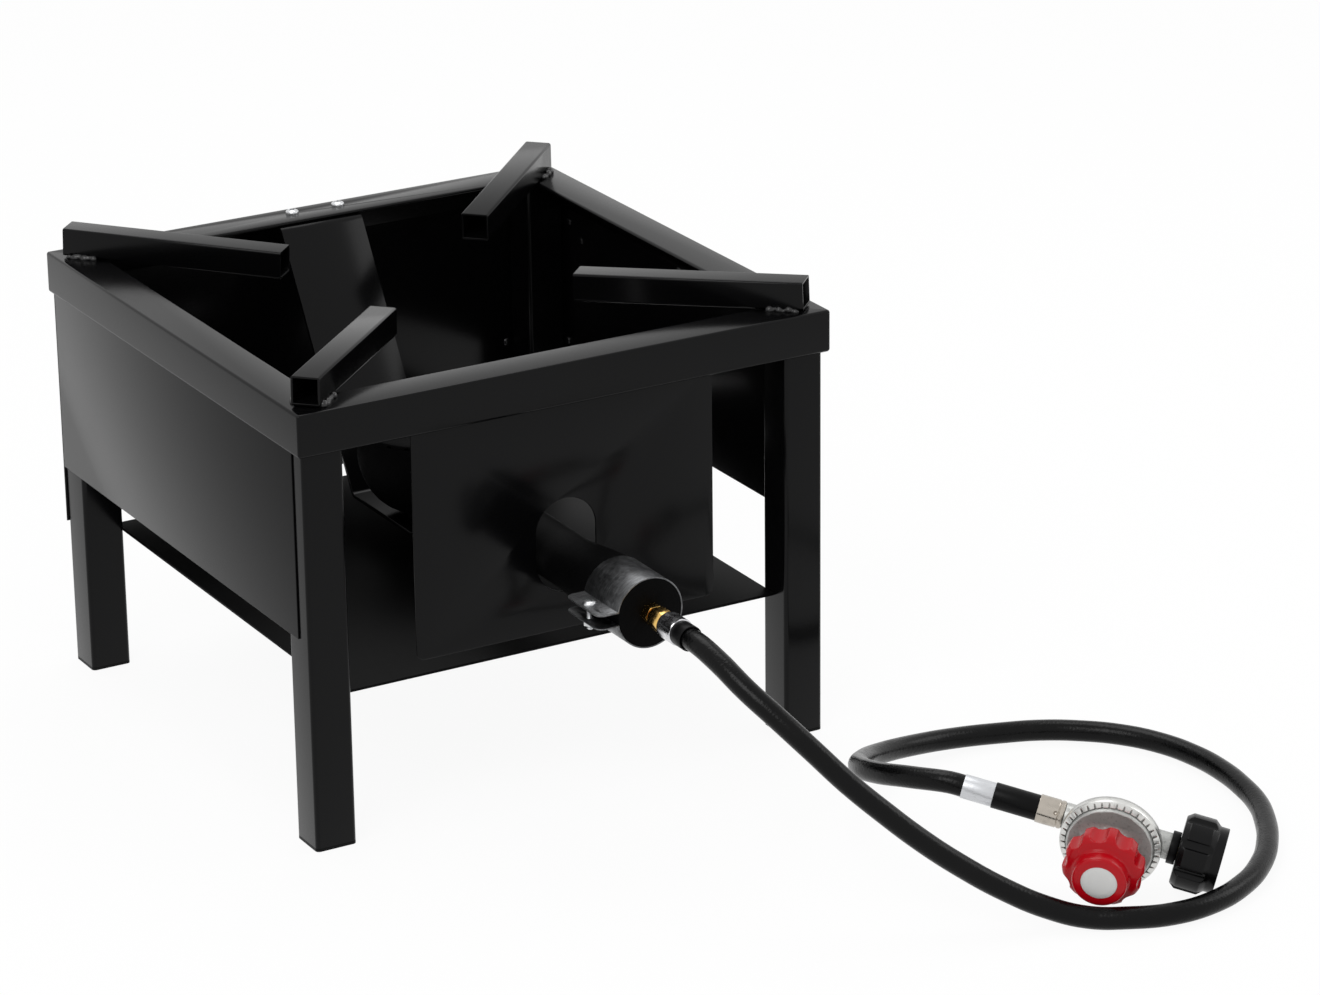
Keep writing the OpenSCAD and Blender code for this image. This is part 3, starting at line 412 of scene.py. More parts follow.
@dataclass(frozen=True)
class Moulded(Finish):
    """Moulded plastic with a fine skin, sink marks and scuffs."""

    skin: float = 0.0007
    skin_depth: float = 0.00002

    def surface(self, graph: Graph) -> dict[str, Signal]:
        """Skin, sink marks and scuffs.

        Args:
            graph: the material's nodes.

        Returns:
            The signals, by the name of the shader's socket.
        """
        at = graph.places()
        skin = graph.noise(at, self.skin, 2.0)
        sink = graph.noise(at, 0.012, 2.0)
        scuff = graph.noise(graph.places((6, 1, 2), (0.2, 0.5, 0.1)), 0.01, 4.0, 0.75).over(0.62, 0.75)
        return {
            "Base Color": graph.mixed(scuff * 0.25 + (sink - 0.5) * 0.2, self.colour, self.shade(1.35)),
            "Roughness": self.roughness + (sink - 0.5) * 0.1 + scuff * 0.15,
            "Normal": graph.bumped(skin * 0.3 + sink, self.skin_depth),
        }


@dataclass(frozen=True)
class HoseRubber(Finish):
    """Extruded rubber cover: satin black with fine ribs of cord showing through."""

    def surface(self, graph: Graph) -> dict[str, Signal]:
        """Fine pores, dusty patches and the faint weave under the cover.

        Args:
            graph: the material's nodes.

        Returns:
            The signals, by the name of the shader's socket.
        """
        at = graph.places()
        pores = graph.noise(at, 0.0008, 3.0, 0.7)
        dust = graph.noise(at, 0.02, 4.0, 0.65).over(0.45, 0.8)
        weave = graph.cells(at, 0.0022).over(0.1, 0.7)
        return {
            "Base Color": graph.mixed(dust * 0.4 + pores * 0.15, self.colour, self.shade(2.5)),
            "Roughness": self.roughness + dust * 0.15 + (pores - 0.5) * 0.15,
            "Normal": graph.bumped(pores * 0.5 + weave * 0.5, 0.00012),
        }


class Look(Enum):
    """The finishes of this burner."""

    ENAMEL = PowderCoat("black_enamel", (0.0018, 0.0018, 0.002), 0.19, ior=1.23)
    # The shelf's enamel, made darker and duller than the rest: painted shade.
    SOOTED = SootedCoat("black_enamel", (0.0016, 0.0016, 0.0017), 0.5, ior=1.15)
    WELD = CastIron("black_enamel", (0.0022, 0.0022, 0.0024), 0.22, ior=1.5)
    CAST = CastIron("cast_black", (0.0012, 0.0012, 0.0013), 0.6, ior=1.12)
    ZINC_STEEL = TurnedMetal("zinc_steel", (0.62, 0.63, 0.64), 0.28, 1.0, tarnish=0.5)
    GALVANISED = Galvanised("galvanised", (0.11, 0.112, 0.115), 0.36, 1.0)
    BRASS = TurnedMetal("brass", (0.78, 0.50, 0.16), 0.2, 1.0, tarnish=0.7)
    CHROME = TurnedMetal("chrome_ferrule", (0.66, 0.66, 0.68), 0.14, 1.0, tarnish=0.45)
    NICKEL = TurnedMetal("nickel_ferrule", (0.46, 0.42, 0.37), 0.17, 1.0, tarnish=0.75)
    FOOT = Moulded("black_plastic", (0.002, 0.002, 0.0022), 0.36, ior=1.2)
    HOSE = HoseRubber("hose_rubber", (0.0011, 0.0011, 0.0012), 0.22, ior=1.24)
    LABEL = TurnedMetal("silver_band", (0.6, 0.61, 0.63), 0.34, 0.7, tarnish=0.8)
    CAST_ZINC = DieCast("cast_zinc", (0.46, 0.465, 0.45), 0.38, 0.5)
    CRIMP = TurnedMetal("crimp_steel", (0.66, 0.66, 0.64), 0.3, 1.0, tarnish=0.6)
    SEAL = Moulded("soft_rubber", (0.012, 0.012, 0.013), 0.6)
    RED = Moulded("red_plastic", (0.42, 0.0018, 0.007), 0.2, ior=1.3)
    DIAL = Moulded("white_plastic", (0.62, 0.62, 0.61), 0.45)
    NUT = Moulded("nut_plastic", (0.0022, 0.0022, 0.0024), 0.24, ior=1.25, skin=0.0012)


class Body(Enum):
    """What a piece moves with."""

    STAND = "stand"
    SHUTTER = "shutter"
    KNOB = "knob"
    NUT = "nut"


# Places in the part's frame


@dataclass(frozen=True)
class Places:
    """Where the sub-assemblies lie, in millimetres and degrees."""

    stand_y: float = 61.0
    burner_x: float = -5.0
    bell_face: float = -252.0
    tube_z: float = 172.0
    rim_top: float = 313.0
    regulator: Sequence[float] = (215.3, -467.7, 36.776)
    yaw: float = -44.0
    tilt: float = 8.87
    roll: float = 13.41
    port_back: float = 17.0
    burner_ferrule: float = -41.0
    regulator_ferrule: float = -52.0
    strap_screws: Sequence[tuple[float, float]] = ((-13.75, 252.0), (23.25, 252.0))

    def tube(self, along: float = 0.0) -> Matrix:
        """The burner tube's frame: Z runs along the tube from its open end."""
        start = Matrix.Translation(spot(self.burner_x, self.bell_face + along, self.tube_z))
        return start @ Matrix.Rotation(math.radians(-90), 4, "X")

    def housing(self) -> Matrix:
        """The regulator's own frame.

        Returns:
            Its turns and place.
        """
        turns = ((self.yaw, "Z"), (self.tilt, "X"), (self.roll, "Y"))
        place = Matrix.Translation(spot(*self.regulator))
        for angle, axis in turns:
            place = place @ Matrix.Rotation(math.radians(angle), 4, axis)
        return place

    def disc(self) -> Matrix:
        """The regulator's disc: Z runs to the knob."""
        return self.housing() @ Matrix.Rotation(math.radians(90), 4, "X")

    def port(self, along: float = 0.0) -> Matrix:
        """The regulator's ports: Z runs to the inlet."""
        start = Matrix.Translation(spot(along, self.port_back, 0))
        return self.housing() @ start @ Matrix.Rotation(math.radians(90), 4, "Y")


PLACES = Places()


# Modelling


class Bench:
    """Blender's operators, used on one piece at a time."""

    @staticmethod
    def clear() -> None:
        """Leaves edit mode and deselects everything."""
        if bpy.context.object is not None and bpy.context.object.mode != "OBJECT":
            bpy.ops.object.mode_set(mode="OBJECT")
        bpy.ops.object.select_all(action="DESELECT")

    @staticmethod
    def take(piece: Piece) -> None:
        """Selects one piece alone and makes it active.

        Args:
            piece: the piece.
        """
        Bench.clear()
        piece.select_set(True)
        bpy.context.view_layer.objects.active = piece

    @staticmethod
    def applied() -> Piece:
        """The selected piece, with its place applied to its mesh."""
        bpy.ops.object.transform_apply(location=True, rotation=True, scale=True)
        return bpy.context.object

    @staticmethod
    def turned(profile: Profile, steps: int = 64) -> Piece:
        """Extrudes and scales a circle from ring to ring.

        Args:
            profile: radius and height of each ring, in millimetres.
            steps: corners of a ring.

        Returns:
            The turned piece, with Z as its axis.
        """
        Bench.clear()
        radius, height = profile[0]
        bpy.ops.mesh.primitive_circle_add(
            vertices=steps,
            radius=radius * MM,
            location=(0, 0, height * MM),
            fill_type="NGON",
        )
        Bench.applied()
        bpy.ops.object.mode_set(mode="EDIT")
        bpy.ops.mesh.select_all(action="SELECT")
        for next_radius, next_height in profile[1:]:
            bpy.ops.mesh.extrude_region_move(
                TRANSFORM_OT_translate={"value": (0, 0, (next_height - height) * MM)}
            )
            scale = next_radius / radius
            bpy.ops.transform.resize(value=(scale, scale, 1), center_override=(0, 0, 0))
            radius, height = next_radius, next_height
        Bench.mend()
        return bpy.context.object

    @staticmethod
    def mend() -> None:
        """Merges doubles and turns every face outwards, then leaves edit mode."""
        bpy.ops.object.mode_set(mode="EDIT")
        bpy.ops.mesh.select_all(action="SELECT")
        bpy.ops.mesh.remove_doubles(threshold=1e-6)
        bpy.ops.mesh.normals_make_consistent(inside=False)
        bpy.ops.object.mode_set(mode="OBJECT")

    @staticmethod
    def block(size: Sequence[float], at: Sequence[float]) -> Piece:
        """A box.

        Args:
            size: its three sides, in millimetres.
            at: its middle, in millimetres.

        Returns:
            The box.
        """
        Bench.clear()
        bpy.ops.mesh.primitive_cube_add(size=1, location=spot(*at), scale=spot(*size))
        return Bench.applied()

    @staticmethod
    def ball(radius: float, at: Sequence[float], scale: Sequence[float] = (1, 1, 1)) -> Piece:
        """A ball.

        Args:
            radius: its radius, in millimetres.
            at: its middle, in millimetres.
            scale: how far it is squashed along each axis.

        Returns:
            The ball.
        """
        Bench.clear()
        bpy.ops.mesh.primitive_uv_sphere_add(
            segments=20, ring_count=12, radius=radius * MM, location=spot(*at), scale=scale
        )
        return Bench.applied()

    @staticmethod
    def modified(piece: Piece, kind: str, **settings: object) -> Piece:
        """Adds a modifier and applies it at once.

        Args:
            piece: the piece.
            kind: the modifier's type.
            settings: the modifier's own properties.

        Returns:
            The piece.
        """
        Bench.take(piece)
        modifier = piece.modifiers.new(kind.lower(), kind)
        for name, setting in settings.items():
            setattr(modifier, name, setting)
        bpy.ops.object.modifier_apply(modifier=modifier.name)
        return piece

    @staticmethod
    def cut(
        piece: Piece,
        cutter: Piece,
        operation: str = "DIFFERENCE",
    ) -> Piece:
        """Cuts one piece with another, or keeps what they share, and removes the second.

        Args:
            piece: the piece.
            cutter: the other one.
            operation: the Boolean's operation.

        Returns:
            The piece.
        """
        Bench.modified(piece, "BOOLEAN", object=cutter, operation=operation, solver="EXACT")
        bpy.data.objects.remove(cutter)
        return piece

    @staticmethod
    def joined(pieces: Sequence[Piece]) -> Piece:
        """Puts several pieces into one mesh.

        Args:
            pieces: the pieces.

        Returns:
            The first one, with all of them in it.
        """
        Bench.take(pieces[0])
        for piece in pieces:
            piece.select_set(True)
        bpy.ops.object.join()
        return bpy.context.object

    @staticmethod
    def copied(piece: Piece, place: Matrix) -> Piece:
        """Copies a piece, mesh and all.

        Args:
            piece: the piece.
            place: how the copy is moved.

        Returns:
            The copy.
        """
        twin = piece.copy()
        twin.data = piece.data.copy()
        bpy.context.scene.collection.objects.link(twin)
        twin.matrix_world = place @ piece.matrix_world
        Bench.take(twin)
        return Bench.applied()

    @staticmethod
    def melted(piece: Piece, voxel: float, rounds: int) -> Piece:
        """Remeshes a piece evenly and softens its edges, as a mould does."""
        Bench.modified(piece, "REMESH", mode="VOXEL", voxel_size=voxel * MM, use_smooth_shade=True)
        return Bench.modified(piece, "SMOOTH", factor=0.5, iterations=rounds)

    @staticmethod
    def eased(piece: Piece, width: float, angle: float, segments: int) -> Piece:
        """Rounds the edges sharper than an angle and shades the rest smooth.

        Args:
            piece: the piece.
            width: the rounds' width, in millimetres.
            angle: the angle, in degrees.
            segments: the rounds' segments.

        Returns:
            The piece.
        """
        Bench.modified(
            piece,
            "BEVEL",
            width=width * MM,
            segments=segments,
            limit_method="ANGLE",
            angle_limit=math.radians(angle),
            miter_outer="MITER_ARC",
        )
        return Bench.smooth(piece, angle)

    @staticmethod
    def smooth(piece: Piece, angle: float) -> Piece:
        """Shades a piece smooth, except over edges sharper than an angle.

        Args:
            piece: the piece.
            angle: the angle, in degrees.

        Returns:
            The piece.
        """
        Bench.take(piece)
        bpy.ops.object.shade_smooth_by_angle(angle=math.radians(angle))
        return piece

    @staticmethod
    def rounded(
        piece: Piece,
        width: float,
        angle: float,
        chosen: PointTest,
        segments: int,
    ) -> Piece:
        """Rounds the sharp edges whose two ends pass a test.

        Args:
            piece: the piece.
            width: the round's width, in millimetres.
            angle: edges sharper than this are rounded.
            chosen: the test of a point.
            segments: the round's segments.

        Returns:
            The piece.
        """
        Bench.take(piece)
        bpy.ops.object.mode_set(mode="EDIT")
        bpy.ops.mesh.select_mode(type="EDGE")
        bpy.ops.mesh.select_all(action="DESELECT")
        bpy.ops.mesh.edges_select_sharp(sharpness=math.radians(angle))
        bpy.ops.object.mode_set(mode="OBJECT")
        points = piece.data.vertices
        for edge in piece.data.edges:
            edge.select = edge.select and all(chosen(points[i].co) for i in edge.vertices)
        bpy.ops.object.mode_set(mode="EDIT")
        bpy.ops.mesh.bevel(offset=width * MM, segments=segments, affect="EDGES", miter_outer="ARC")
        bpy.ops.mesh.select_mode(type="VERT")
        bpy.ops.object.mode_set(mode="OBJECT")
        return piece

    @staticmethod
    def halved(piece: Piece, point: Vector, normal: Vector) -> Piece:
        """Keeps one half of a piece and closes it.

        Args:
            piece: the piece.
            point: a point of the cut.
            normal: points to the side that stays.

        Returns:
            The piece.
        """
        Bench.take(piece)
        bpy.ops.object.mode_set(mode="EDIT")
        bpy.ops.mesh.select_all(action="SELECT")
        bpy.ops.mesh.bisect(plane_co=point, plane_no=normal, use_fill=True, clear_inner=True)
        bpy.ops.object.mode_set(mode="OBJECT")
        return piece

    @staticmethod
    def traced(node: str) -> Piece:
        """A merged copy of a CAD node's solid, to be shaped further.

        Args:
            node: the node's name.

        Returns:
            The copy.
        """
        Bench.clear()
        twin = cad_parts[node].copy()
        twin.data = twin.data.copy()
        twin.parent = None
        twin.matrix_world = Matrix.Identity(4)
        for key in list(twin.keys()):
            del twin[key]
        bpy.context.scene.collection.objects.link(twin)
        Bench.take(twin)
        twin.data.materials.clear()
        bpy.ops.mesh.customdata_custom_splitnormals_clear()
        bpy.ops.object.mode_set(mode="EDIT")
        bpy.ops.mesh.select_all(action="SELECT")
        bpy.ops.mesh.remove_doubles(threshold=2e-6)
        bpy.ops.mesh.dissolve_limited(angle_limit=math.radians(1.0))
        bpy.ops.object.mode_set(mode="OBJECT")
        return twin

    @staticmethod
    def placed(piece: Piece, place: Matrix) -> Piece:
        """Moves a finished piece to its place and applies it to the mesh.

        Args:
            piece: the piece.
            place: how it is moved.

        Returns:
            The piece.
        """
        Bench.take(piece)
        piece.matrix_world = place @ piece.matrix_world
        return Bench.applied()


@dataclass
class SubAssembly:
    """A group of pieces: what is carried over from the CAD and what is modelled here."""

    carried: Mapping[str, Look] = field(default_factory=dict)
    eased: Mapping[str, tuple[Look, float]] = field(default_factory=dict)
    body: Body = Body.STAND

    def dress(self) -> None:
        """Paints the nodes that keep their CAD shape, and copies the others with softer edges."""
        for node, look in self.carried.items():
            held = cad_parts[node]
            held.data.materials.clear()
            held.data.materials.append(look.value.material())
            LOG.info("%s keeps its CAD shape, in %s", node, look.value.slot)
        for node, (look, width) in self.eased.items():
            piece = Bench.eased(Bench.traced(node), width, 50, 2)
            self.finished(piece, node + "_eased", look, self.body, node)

    def finished(
        self,
        piece: Piece,
        name: str,
        look: Look,
        body: Body,
        *nodes: str,
    ) -> None:
        """Names, paints and mounts a modelled piece.

        Args:
            piece: the modelled object, in its place.
            name: the piece's name.
            look: its finish.
            body: what it moves with.
            nodes: the CAD nodes it stands for.
        """
        piece.name = name
        piece.data.name = name
        piece.data.materials.clear()
        piece.data.materials.append(look.value.material())
        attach(piece, body.value)
        if nodes:
            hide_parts(*nodes)
        LOG.info("%s is modelled here, in %s", name, look.value.slot)


@dataclass
class GasHose(SubAssembly):
    """The rubber hose, from the burner's ferrule to the regulator's."""

    diameter: float = 15.0
    length: float = 1182.0
    start_run: float = 18.0
    end_run: float = 28.0
    grip: float = 8.0
    route: Sequence[tuple[float, float, float]] = (
        (-2, -335, 166), (4, -359, 154), (15, -381, 139), (29, -400, 121), (45, -417, 101),
        (64, -432, 81), (85, -445, 61), (107, -458, 43), (130, -472, 27), (153, -486, 14.6),
        (175, -501, 8), (198, -516, 8), (225, -525.5, 8), (256.5, -525, 8), (289.5, -513.5, 8),
        (317, -495, 8), (343, -468, 8), (363, -438, 8), (375, -413, 8), (382, -387, 8),
        (386, -358, 8), (385, -328, 8), (377, -297, 8), (362, -271, 8), (342, -251, 8),
        (318, -235, 8), (290, -225, 8.4), (256, -220, 10.5), (220, -224, 15), (183, -239, 23),
        (154, -262, 33), (134, -292, 44), (127, -325, 54), (132, -357, 62),
    )
    on_it: Sequence[str] = (
        "hose_sleeve_burner_eased", "hose_label_band_eased", "hose_sleeve_regulator_eased",
    )

    def points(self) -> list[Vector]:
        """The whole route, square to both ferrules.

        Returns:
            Its points, in metres.
        """
        exit_point = PLACES.tube(PLACES.burner_ferrule).translation
        leave = [exit_point, exit_point - spot(0, self.start_run, 0)]
        ends = [PLACES.port(PLACES.regulator_ferrule - k * self.end_run).translation for k in (2, 1, 0)]
        return leave + [spot(*p) for p in self.route] + ends

    def build(self) -> None:
        path = self.points()
        curve = bpy.data.curves.new("gas_hose", "CURVE")
        curve.dimensions = "3D"
        curve.bevel_depth = self.diameter / 2 * MM
        curve.bevel_resolution = 7
        curve.resolution_u = 6
        curve.use_fill_caps = True
        line = curve.splines.new("BEZIER")
        line.bezier_points.add(len(path) - 1)
        for knot, point in zip(line.bezier_points, path):
            knot.co = point
            knot.handle_left_type = knot.handle_right_type = "AUTO"
        for number, way in ((0, path[1] - path[0]), (1, path[1] - path[0]), (-3, path[-1] - path[-3])):
            knot = line.bezier_points[number]
            knot.handle_left_type = knot.handle_right_type = "ALIGNED"
            reach = way.normalized() * self.grip * MM
            knot.handle_left, knot.handle_right = path[number] - reach, path[number] + reach
        hose = bpy.data.objects.new("gas_hose", curve)
        bpy.context.scene.collection.objects.link(hose)
        self.finished(hose, "gas_hose", Look.HOSE, Body.STAND, "hose")


@dataclass
class Stand(SubAssembly):
    """The welded stand: rim, legs, pot arms, wind guard and shelf."""

    half: float = 203.0
    flange: float = 30.0
    wall: float = 3.0
    outer_round: float = 2.0
    inner_round: float = 0.7
    hole_radius: float = 2.75
    bead_from: float = 246.6
    bead_length: float = 18.0
    bead_radius: float = 3.1
    bead_side: float = 10.0
    bead_drops: int = 9
    arm_turns: Sequence[float] = (45, 135, 225, 315)

    def frame_of_angle(self) -> Piece:
        """The whole rim as ground after welding, before it is parted at its mitres.

        Returns:
            The rim.
        """
        high, y = PLACES.rim_top, PLACES.stand_y
        wide, inside = 2 * self.half, 2 * (self.half - self.wall)
        opening = 2 * (self.half - self.flange)
        rim = Bench.block((wide, wide, self.flange), (0, y, high - self.flange / 2))
        Bench.cut(rim, Bench.block((inside, inside, self.flange), (0, y, high - self.wall - self.flange / 2)))
        Bench.cut(rim, Bench.block((opening, opening, self.flange), (0, y, high)))
        for x, back in PLACES.strap_screws:
            hole = Bench.turned([(self.hole_radius, high - 10), (self.hole_radius, high + 10)], 32)
            Bench.cut(rim, Bench.placed(hole, Matrix.Translation(spot(x, back, 0))))
        edge = self.half * MM - TOUCH
        middle = y * MM

        def outer(point: Vector) -> bool:
            """Whether a point lies on the frame's outside."""
            return max(abs(point.x), abs(point.y - middle)) > edge

        Bench.rounded(rim, self.outer_round, 60, outer, 6)
        Bench.rounded(rim, self.inner_round, 60, lambda point: True, 3)
        return rim

    def rim(self) -> None:
        """Parts the ground rim along its mitres into its four lengths."""
        whole = self.frame_of_angle()
        middle = spot(0, PLACES.stand_y, 0)
        for side, (x, y) in {"front": (0, -1), "rear": (0, 1), "left": (-1, 0), "right": (1, 0)}.items():
            length = Bench.copied(whole, Matrix.Identity(4))
            way = Vector((x, y, 0))
            for turn in (-45, 45):
                normal = Matrix.Rotation(math.radians(turn), 3, "Z") @ way
                Bench.halved(length, middle, normal)
            Bench.smooth(length, 30)
            self.finished(length, "rim_" + side + "_angle", Look.ENAMEL, Body.STAND, "rim_" + side)
        bpy.data.objects.remove(whole)

    def bead(self, seed: float, side: int) -> Piece:
        """One rough weld bead along the foot of an arm, built from overlapping drops.

        Args:
            seed: changes the drops' sizes from bead to bead.
            side: 1 or -1, the side of the arm.

        Returns:
            The bead, along X, in the arm's own frame.
        """
        drops = []
        for step in range(self.bead_drops):
            swell = 1 + 0.24 * math.sin(seed * 7.3 + step * 2.1) + 0.16 * math.sin(seed + step * 5.7)
            along = self.bead_from + self.bead_length * step / (self.bead_drops - 1)
            away = side * (self.bead_side + 0.6 + 0.5 * math.cos(seed * 3 + step))
            high = PLACES.rim_top + 0.6 + 0.5 * math.sin(seed * 5 + step * 1.7)
            drops.append(Bench.ball(self.bead_radius * swell, (along, away, high), (0.85, 0.8, 0.85)))
        bead = Bench.joined(drops)
        return Bench.melted(bead, 0.42, 1)

    def beads(self) -> None:
        """All eight beads as one piece."""
        made = []
        middle = Matrix.Translation(spot(0, PLACES.stand_y, 0))
        for number, turn in enumerate(self.arm_turns):
            place = middle @ Matrix.Rotation(math.radians(turn), 4, "Z")
            for side in (-1, 1):
                made.append(Bench.placed(self.bead(number * 2.7 + side, side), place))
        self.finished(Bench.joined(made), "weld_beads_rough", Look.WELD, Body.STAND, "weld_beads")


@dataclass
class PanScrew:
    """A threaded pan-head screw with a cross recess, head up, with its seat at the origin."""

    length: float = 13.0
    radius: float = 2.5
    head_radius: float = 4.75
    head_height: float = 3.0
    pitch: float = 0.8
    thread_depth: float = 0.32
    rim_share: float = 0.35
    recess: Sequence[float] = (5.2, 1.15, 1.7)

    def profile(self) -> list[tuple[float, float]]:
        """The screw's outline from its tip up to the crown.

        Returns:
            Radius and height of each ring, in millimetres.
        """
        root = self.radius - self.thread_depth
        turns = int((self.length - 1) / self.pitch)
        outline = [(root - 0.5, -self.length)]
        for turn in range(turns):
            low = -self.length + 0.5 + turn * self.pitch
            outline += [(root, low), (self.radius, low + self.pitch / 2)]
        edge = self.head_radius
        outline += [(root, -0.3), (root, 0), (edge, 0), (edge, self.rim_share * self.head_height)]
        for degrees in range(15, 90, 15):
            angle = math.radians(degrees)
            rise = self.head_height * (self.rim_share + (1 - self.rim_share) * math.sin(angle))
            outline.append((edge * math.cos(angle), rise))
        return outline

    def build(self) -> Piece:
        """Turns the screw and sinks the cross into its head.

        Returns:
            The screw.
        """
        screw = Bench.turned(self.profile(), 40)
        long, wide, deep = self.recess
        middle = self.head_height + 0.5 - deep / 2
        for size in ((long, wide, deep), (wide, long, deep)):
            Bench.cut(screw, Bench.block(size, (0, 0, middle)))
        return Bench.smooth(screw, 35)


@dataclass
class HangerStrap(SubAssembly):
    """The flat bar that hangs the burner from the rear rim, with its screws."""

    screw_turns: Sequence[float] = (0.3, 1.1)

    def screws(self) -> None:
        """Two screws, modelled once and copied, each turned its own way."""
        first = PanScrew().build()
        made = []
        for (x, y), turn in zip(PLACES.strap_screws, self.screw_turns):
            place = Matrix.Translation(spot(x, y, PLACES.rim_top)) @ Matrix.Rotation(turn, 4, "Z")
            made.append(Bench.copied(first, place))
        bpy.data.objects.remove(first)
        self.finished(Bench.joined(made), "strap_screws_cross", Look.ZINC_STEEL, Body.STAND, "strap_screws")


@dataclass
class Burner(SubAssembly):
    """The cast burner: body, cap and the bolt through them."""


@dataclass
class AirShutter(SubAssembly):
    """The sheet band on the mixing bell and its clamping screw."""

    middle: float = 22.5
    reach: float = 32.7
    half_gap: float = 5.15
    screw_length: float = 17.3

    def screw(self) -> None:
        """The clamping screw through both ears."""
        ear = Matrix.Translation(spot(-self.reach, 0, self.half_gap))
        turn = Matrix.Rotation(math.radians(90), 4, "X") @ ear
        screw = Bench.placed(PanScrew(length=self.screw_length).build(), PLACES.tube(self.middle) @ turn)
        self.finished(screw, "shutter_screw_cross", Look.ZINC_STEEL, Body.SHUTTER, "shutter_screw")


@dataclass
class CrimpedFerrule:
    """A crimped shell with its stub, built from the hose's side up."""

    outline: Profile = (
        (8.7, 0), (9.3, 0.15), (9.5, 0.5), (9.5, 13.4), (9.35, 13.8), (9.05, 14.1), (9.05, 14.5),
        (9.35, 14.8), (9.5, 15.1), (9.5, 16.2), (9.3, 17.0), (8.8, 17.6), (8.0, 17.95), (7.2, 18),
        (4.9, 18), (4.9, 27),
    )
    bore: float = 2.2
    flats: int = 0
    flat_depth: float = 0.35
    dimple: Sequence[float] = ()
    dimple_radius: float = 1.5

    def build(self) -> Piece:
        """Turns the shell, presses its flats or its dimple and drills it.

        Returns:
            The ferrule.
        """
        shell = Bench.turned(self.outline, 72)
        top = self.outline[-1][1]
        if self.flats:
            widest = max(radius for radius, _ in self.outline)
            corner = (widest - self.flat_depth) / math.cos(math.pi / self.flats)
            Bench.cut(shell, Bench.turned([(corner, -1), (corner, top + 1)], self.flats), "INTERSECT")
        if self.dimple:
            Bench.cut(shell, Bench.ball(self.dimple_radius, self.dimple, (1, 1.3, 1)))
        Bench.cut(shell, Bench.turned([(self.bore, 2), (self.bore, top + 1)], 32))
        return Bench.smooth(shell, 20)


@dataclass
class GasFittings(SubAssembly):
    """The brass jet and flare nut and the plated ferrules."""

    burner_outline: Profile = (
        (8.4, 0), (9.1, 0.2), (9.5, 0.7), (9.5, 15.4), (9.3, 16.6), (8.6, 17.5), (7.6, 17.9), (6.4, 18),
        (4.1, 18), (4.1, 25),
    )

    def ferrules(self) -> None:
        """The burner's eight-sided ferrule and the regulator's round one."""
        burner = CrimpedFerrule(self.burner_outline, flats=8).build()
        placed = Bench.placed(burner, PLACES.tube(PLACES.burner_ferrule))
        self.finished(placed, "ferrule_burner_crimped", Look.CHROME, Body.STAND, "hose_ferrule_burner")
        regulator = CrimpedFerrule(dimple=(-5.5, -8.6, 12.2)).build()
        placed = Bench.placed(regulator, PLACES.port(PLACES.regulator_ferrule))
        self.finished(placed, "ferrule_regulator_grooved", Look.NICKEL, Body.STAND, "hose_ferrule_regulator")


@dataclass
class Fluted:
    """A moulded grip: a turned body with flutes, soft edges and bores."""

    outline: Profile
    count: int
    flute_radius: float
    flute_centre: float
    reach: Sequence[float]
    bores: Bores
    voxel: float = 0.45
    rounds: int = 5

    def build(self) -> Piece:
        """Turns the body, cuts the flutes, melts the edges and drills the bores.

        Returns:
            The grip, with Z as its axis.
        """
        body = Bench.turned(self.outline, 160)
        low, high = self.reach
        flute = Bench.turned([(self.flute_radius, low), (self.flute_radius, high)], 48)
        flute.matrix_world = Matrix.Translation(spot(self.flute_centre, 0, 0))
        cutters = []
        for number in range(self.count):
            turn = Matrix.Rotation(2 * math.pi * number / self.count, 4, "Z")
            cutters.append(Bench.copied(flute, turn))
        bpy.data.objects.remove(flute)
        Bench.cut(body, Bench.joined(cutters))
        Bench.melted(body, self.voxel, self.rounds)
        for radius, start, end in self.bores:
            Bench.cut(body, Bench.turned([(radius, start), (radius, end)], 96))
        return Bench.smooth(body, 40)


@dataclass
class Regulator(SubAssembly):
    """The regulator's housing, its crimped seam and what it holds inside."""


@dataclass
class RegulatorKnob(SubAssembly):
    """The red knob with its bare white dial."""

    outline: Profile = (
        (25.2, 18), (25.9, 18.3), (26.3, 19), (26.8, 23), (27.0, 27), (26.9, 29.5), (26.4, 31.4), (25.4, 33),
        (23.8, 34.2), (21.4, 34.9), (19.6, 35.6), (18.6, 36.6), (18.25, 38), (18.2, 43.8),
        (17.9, 45), (17.2, 45.75), (16.3, 46),
    )
    bores: Bores = ((17.0, 12, 30), (4.95, 29, 42), (12.1, 45, 48))
    crown: Profile = ((11.9, 45.0), (12.0, 45.2), (12.0, 45.6), (11.7, 45.85), (8.0, 45.95), (0.4, 46.0))

    def knob(self) -> None:
        """The fluted knob, hollow at the back."""
        grip = Fluted(
            self.outline, count=10, flute_radius=7.5, flute_centre=31.0, reach=(8, 52), bores=self.bores
        )
        placed = Bench.placed(grip.build(), PLACES.disc())
        self.finished(placed, "red_knob", Look.RED, Body.KNOB, "regulator_knob")

    def dial(self) -> None:
        """The bare white disc, slightly crowned."""
        dial = Bench.smooth(Bench.turned(self.crown, 96), 50)
        self.finished(Bench.placed(dial, PLACES.disc()), "white_dial", Look.DIAL, Body.KNOB, "knob_disc")


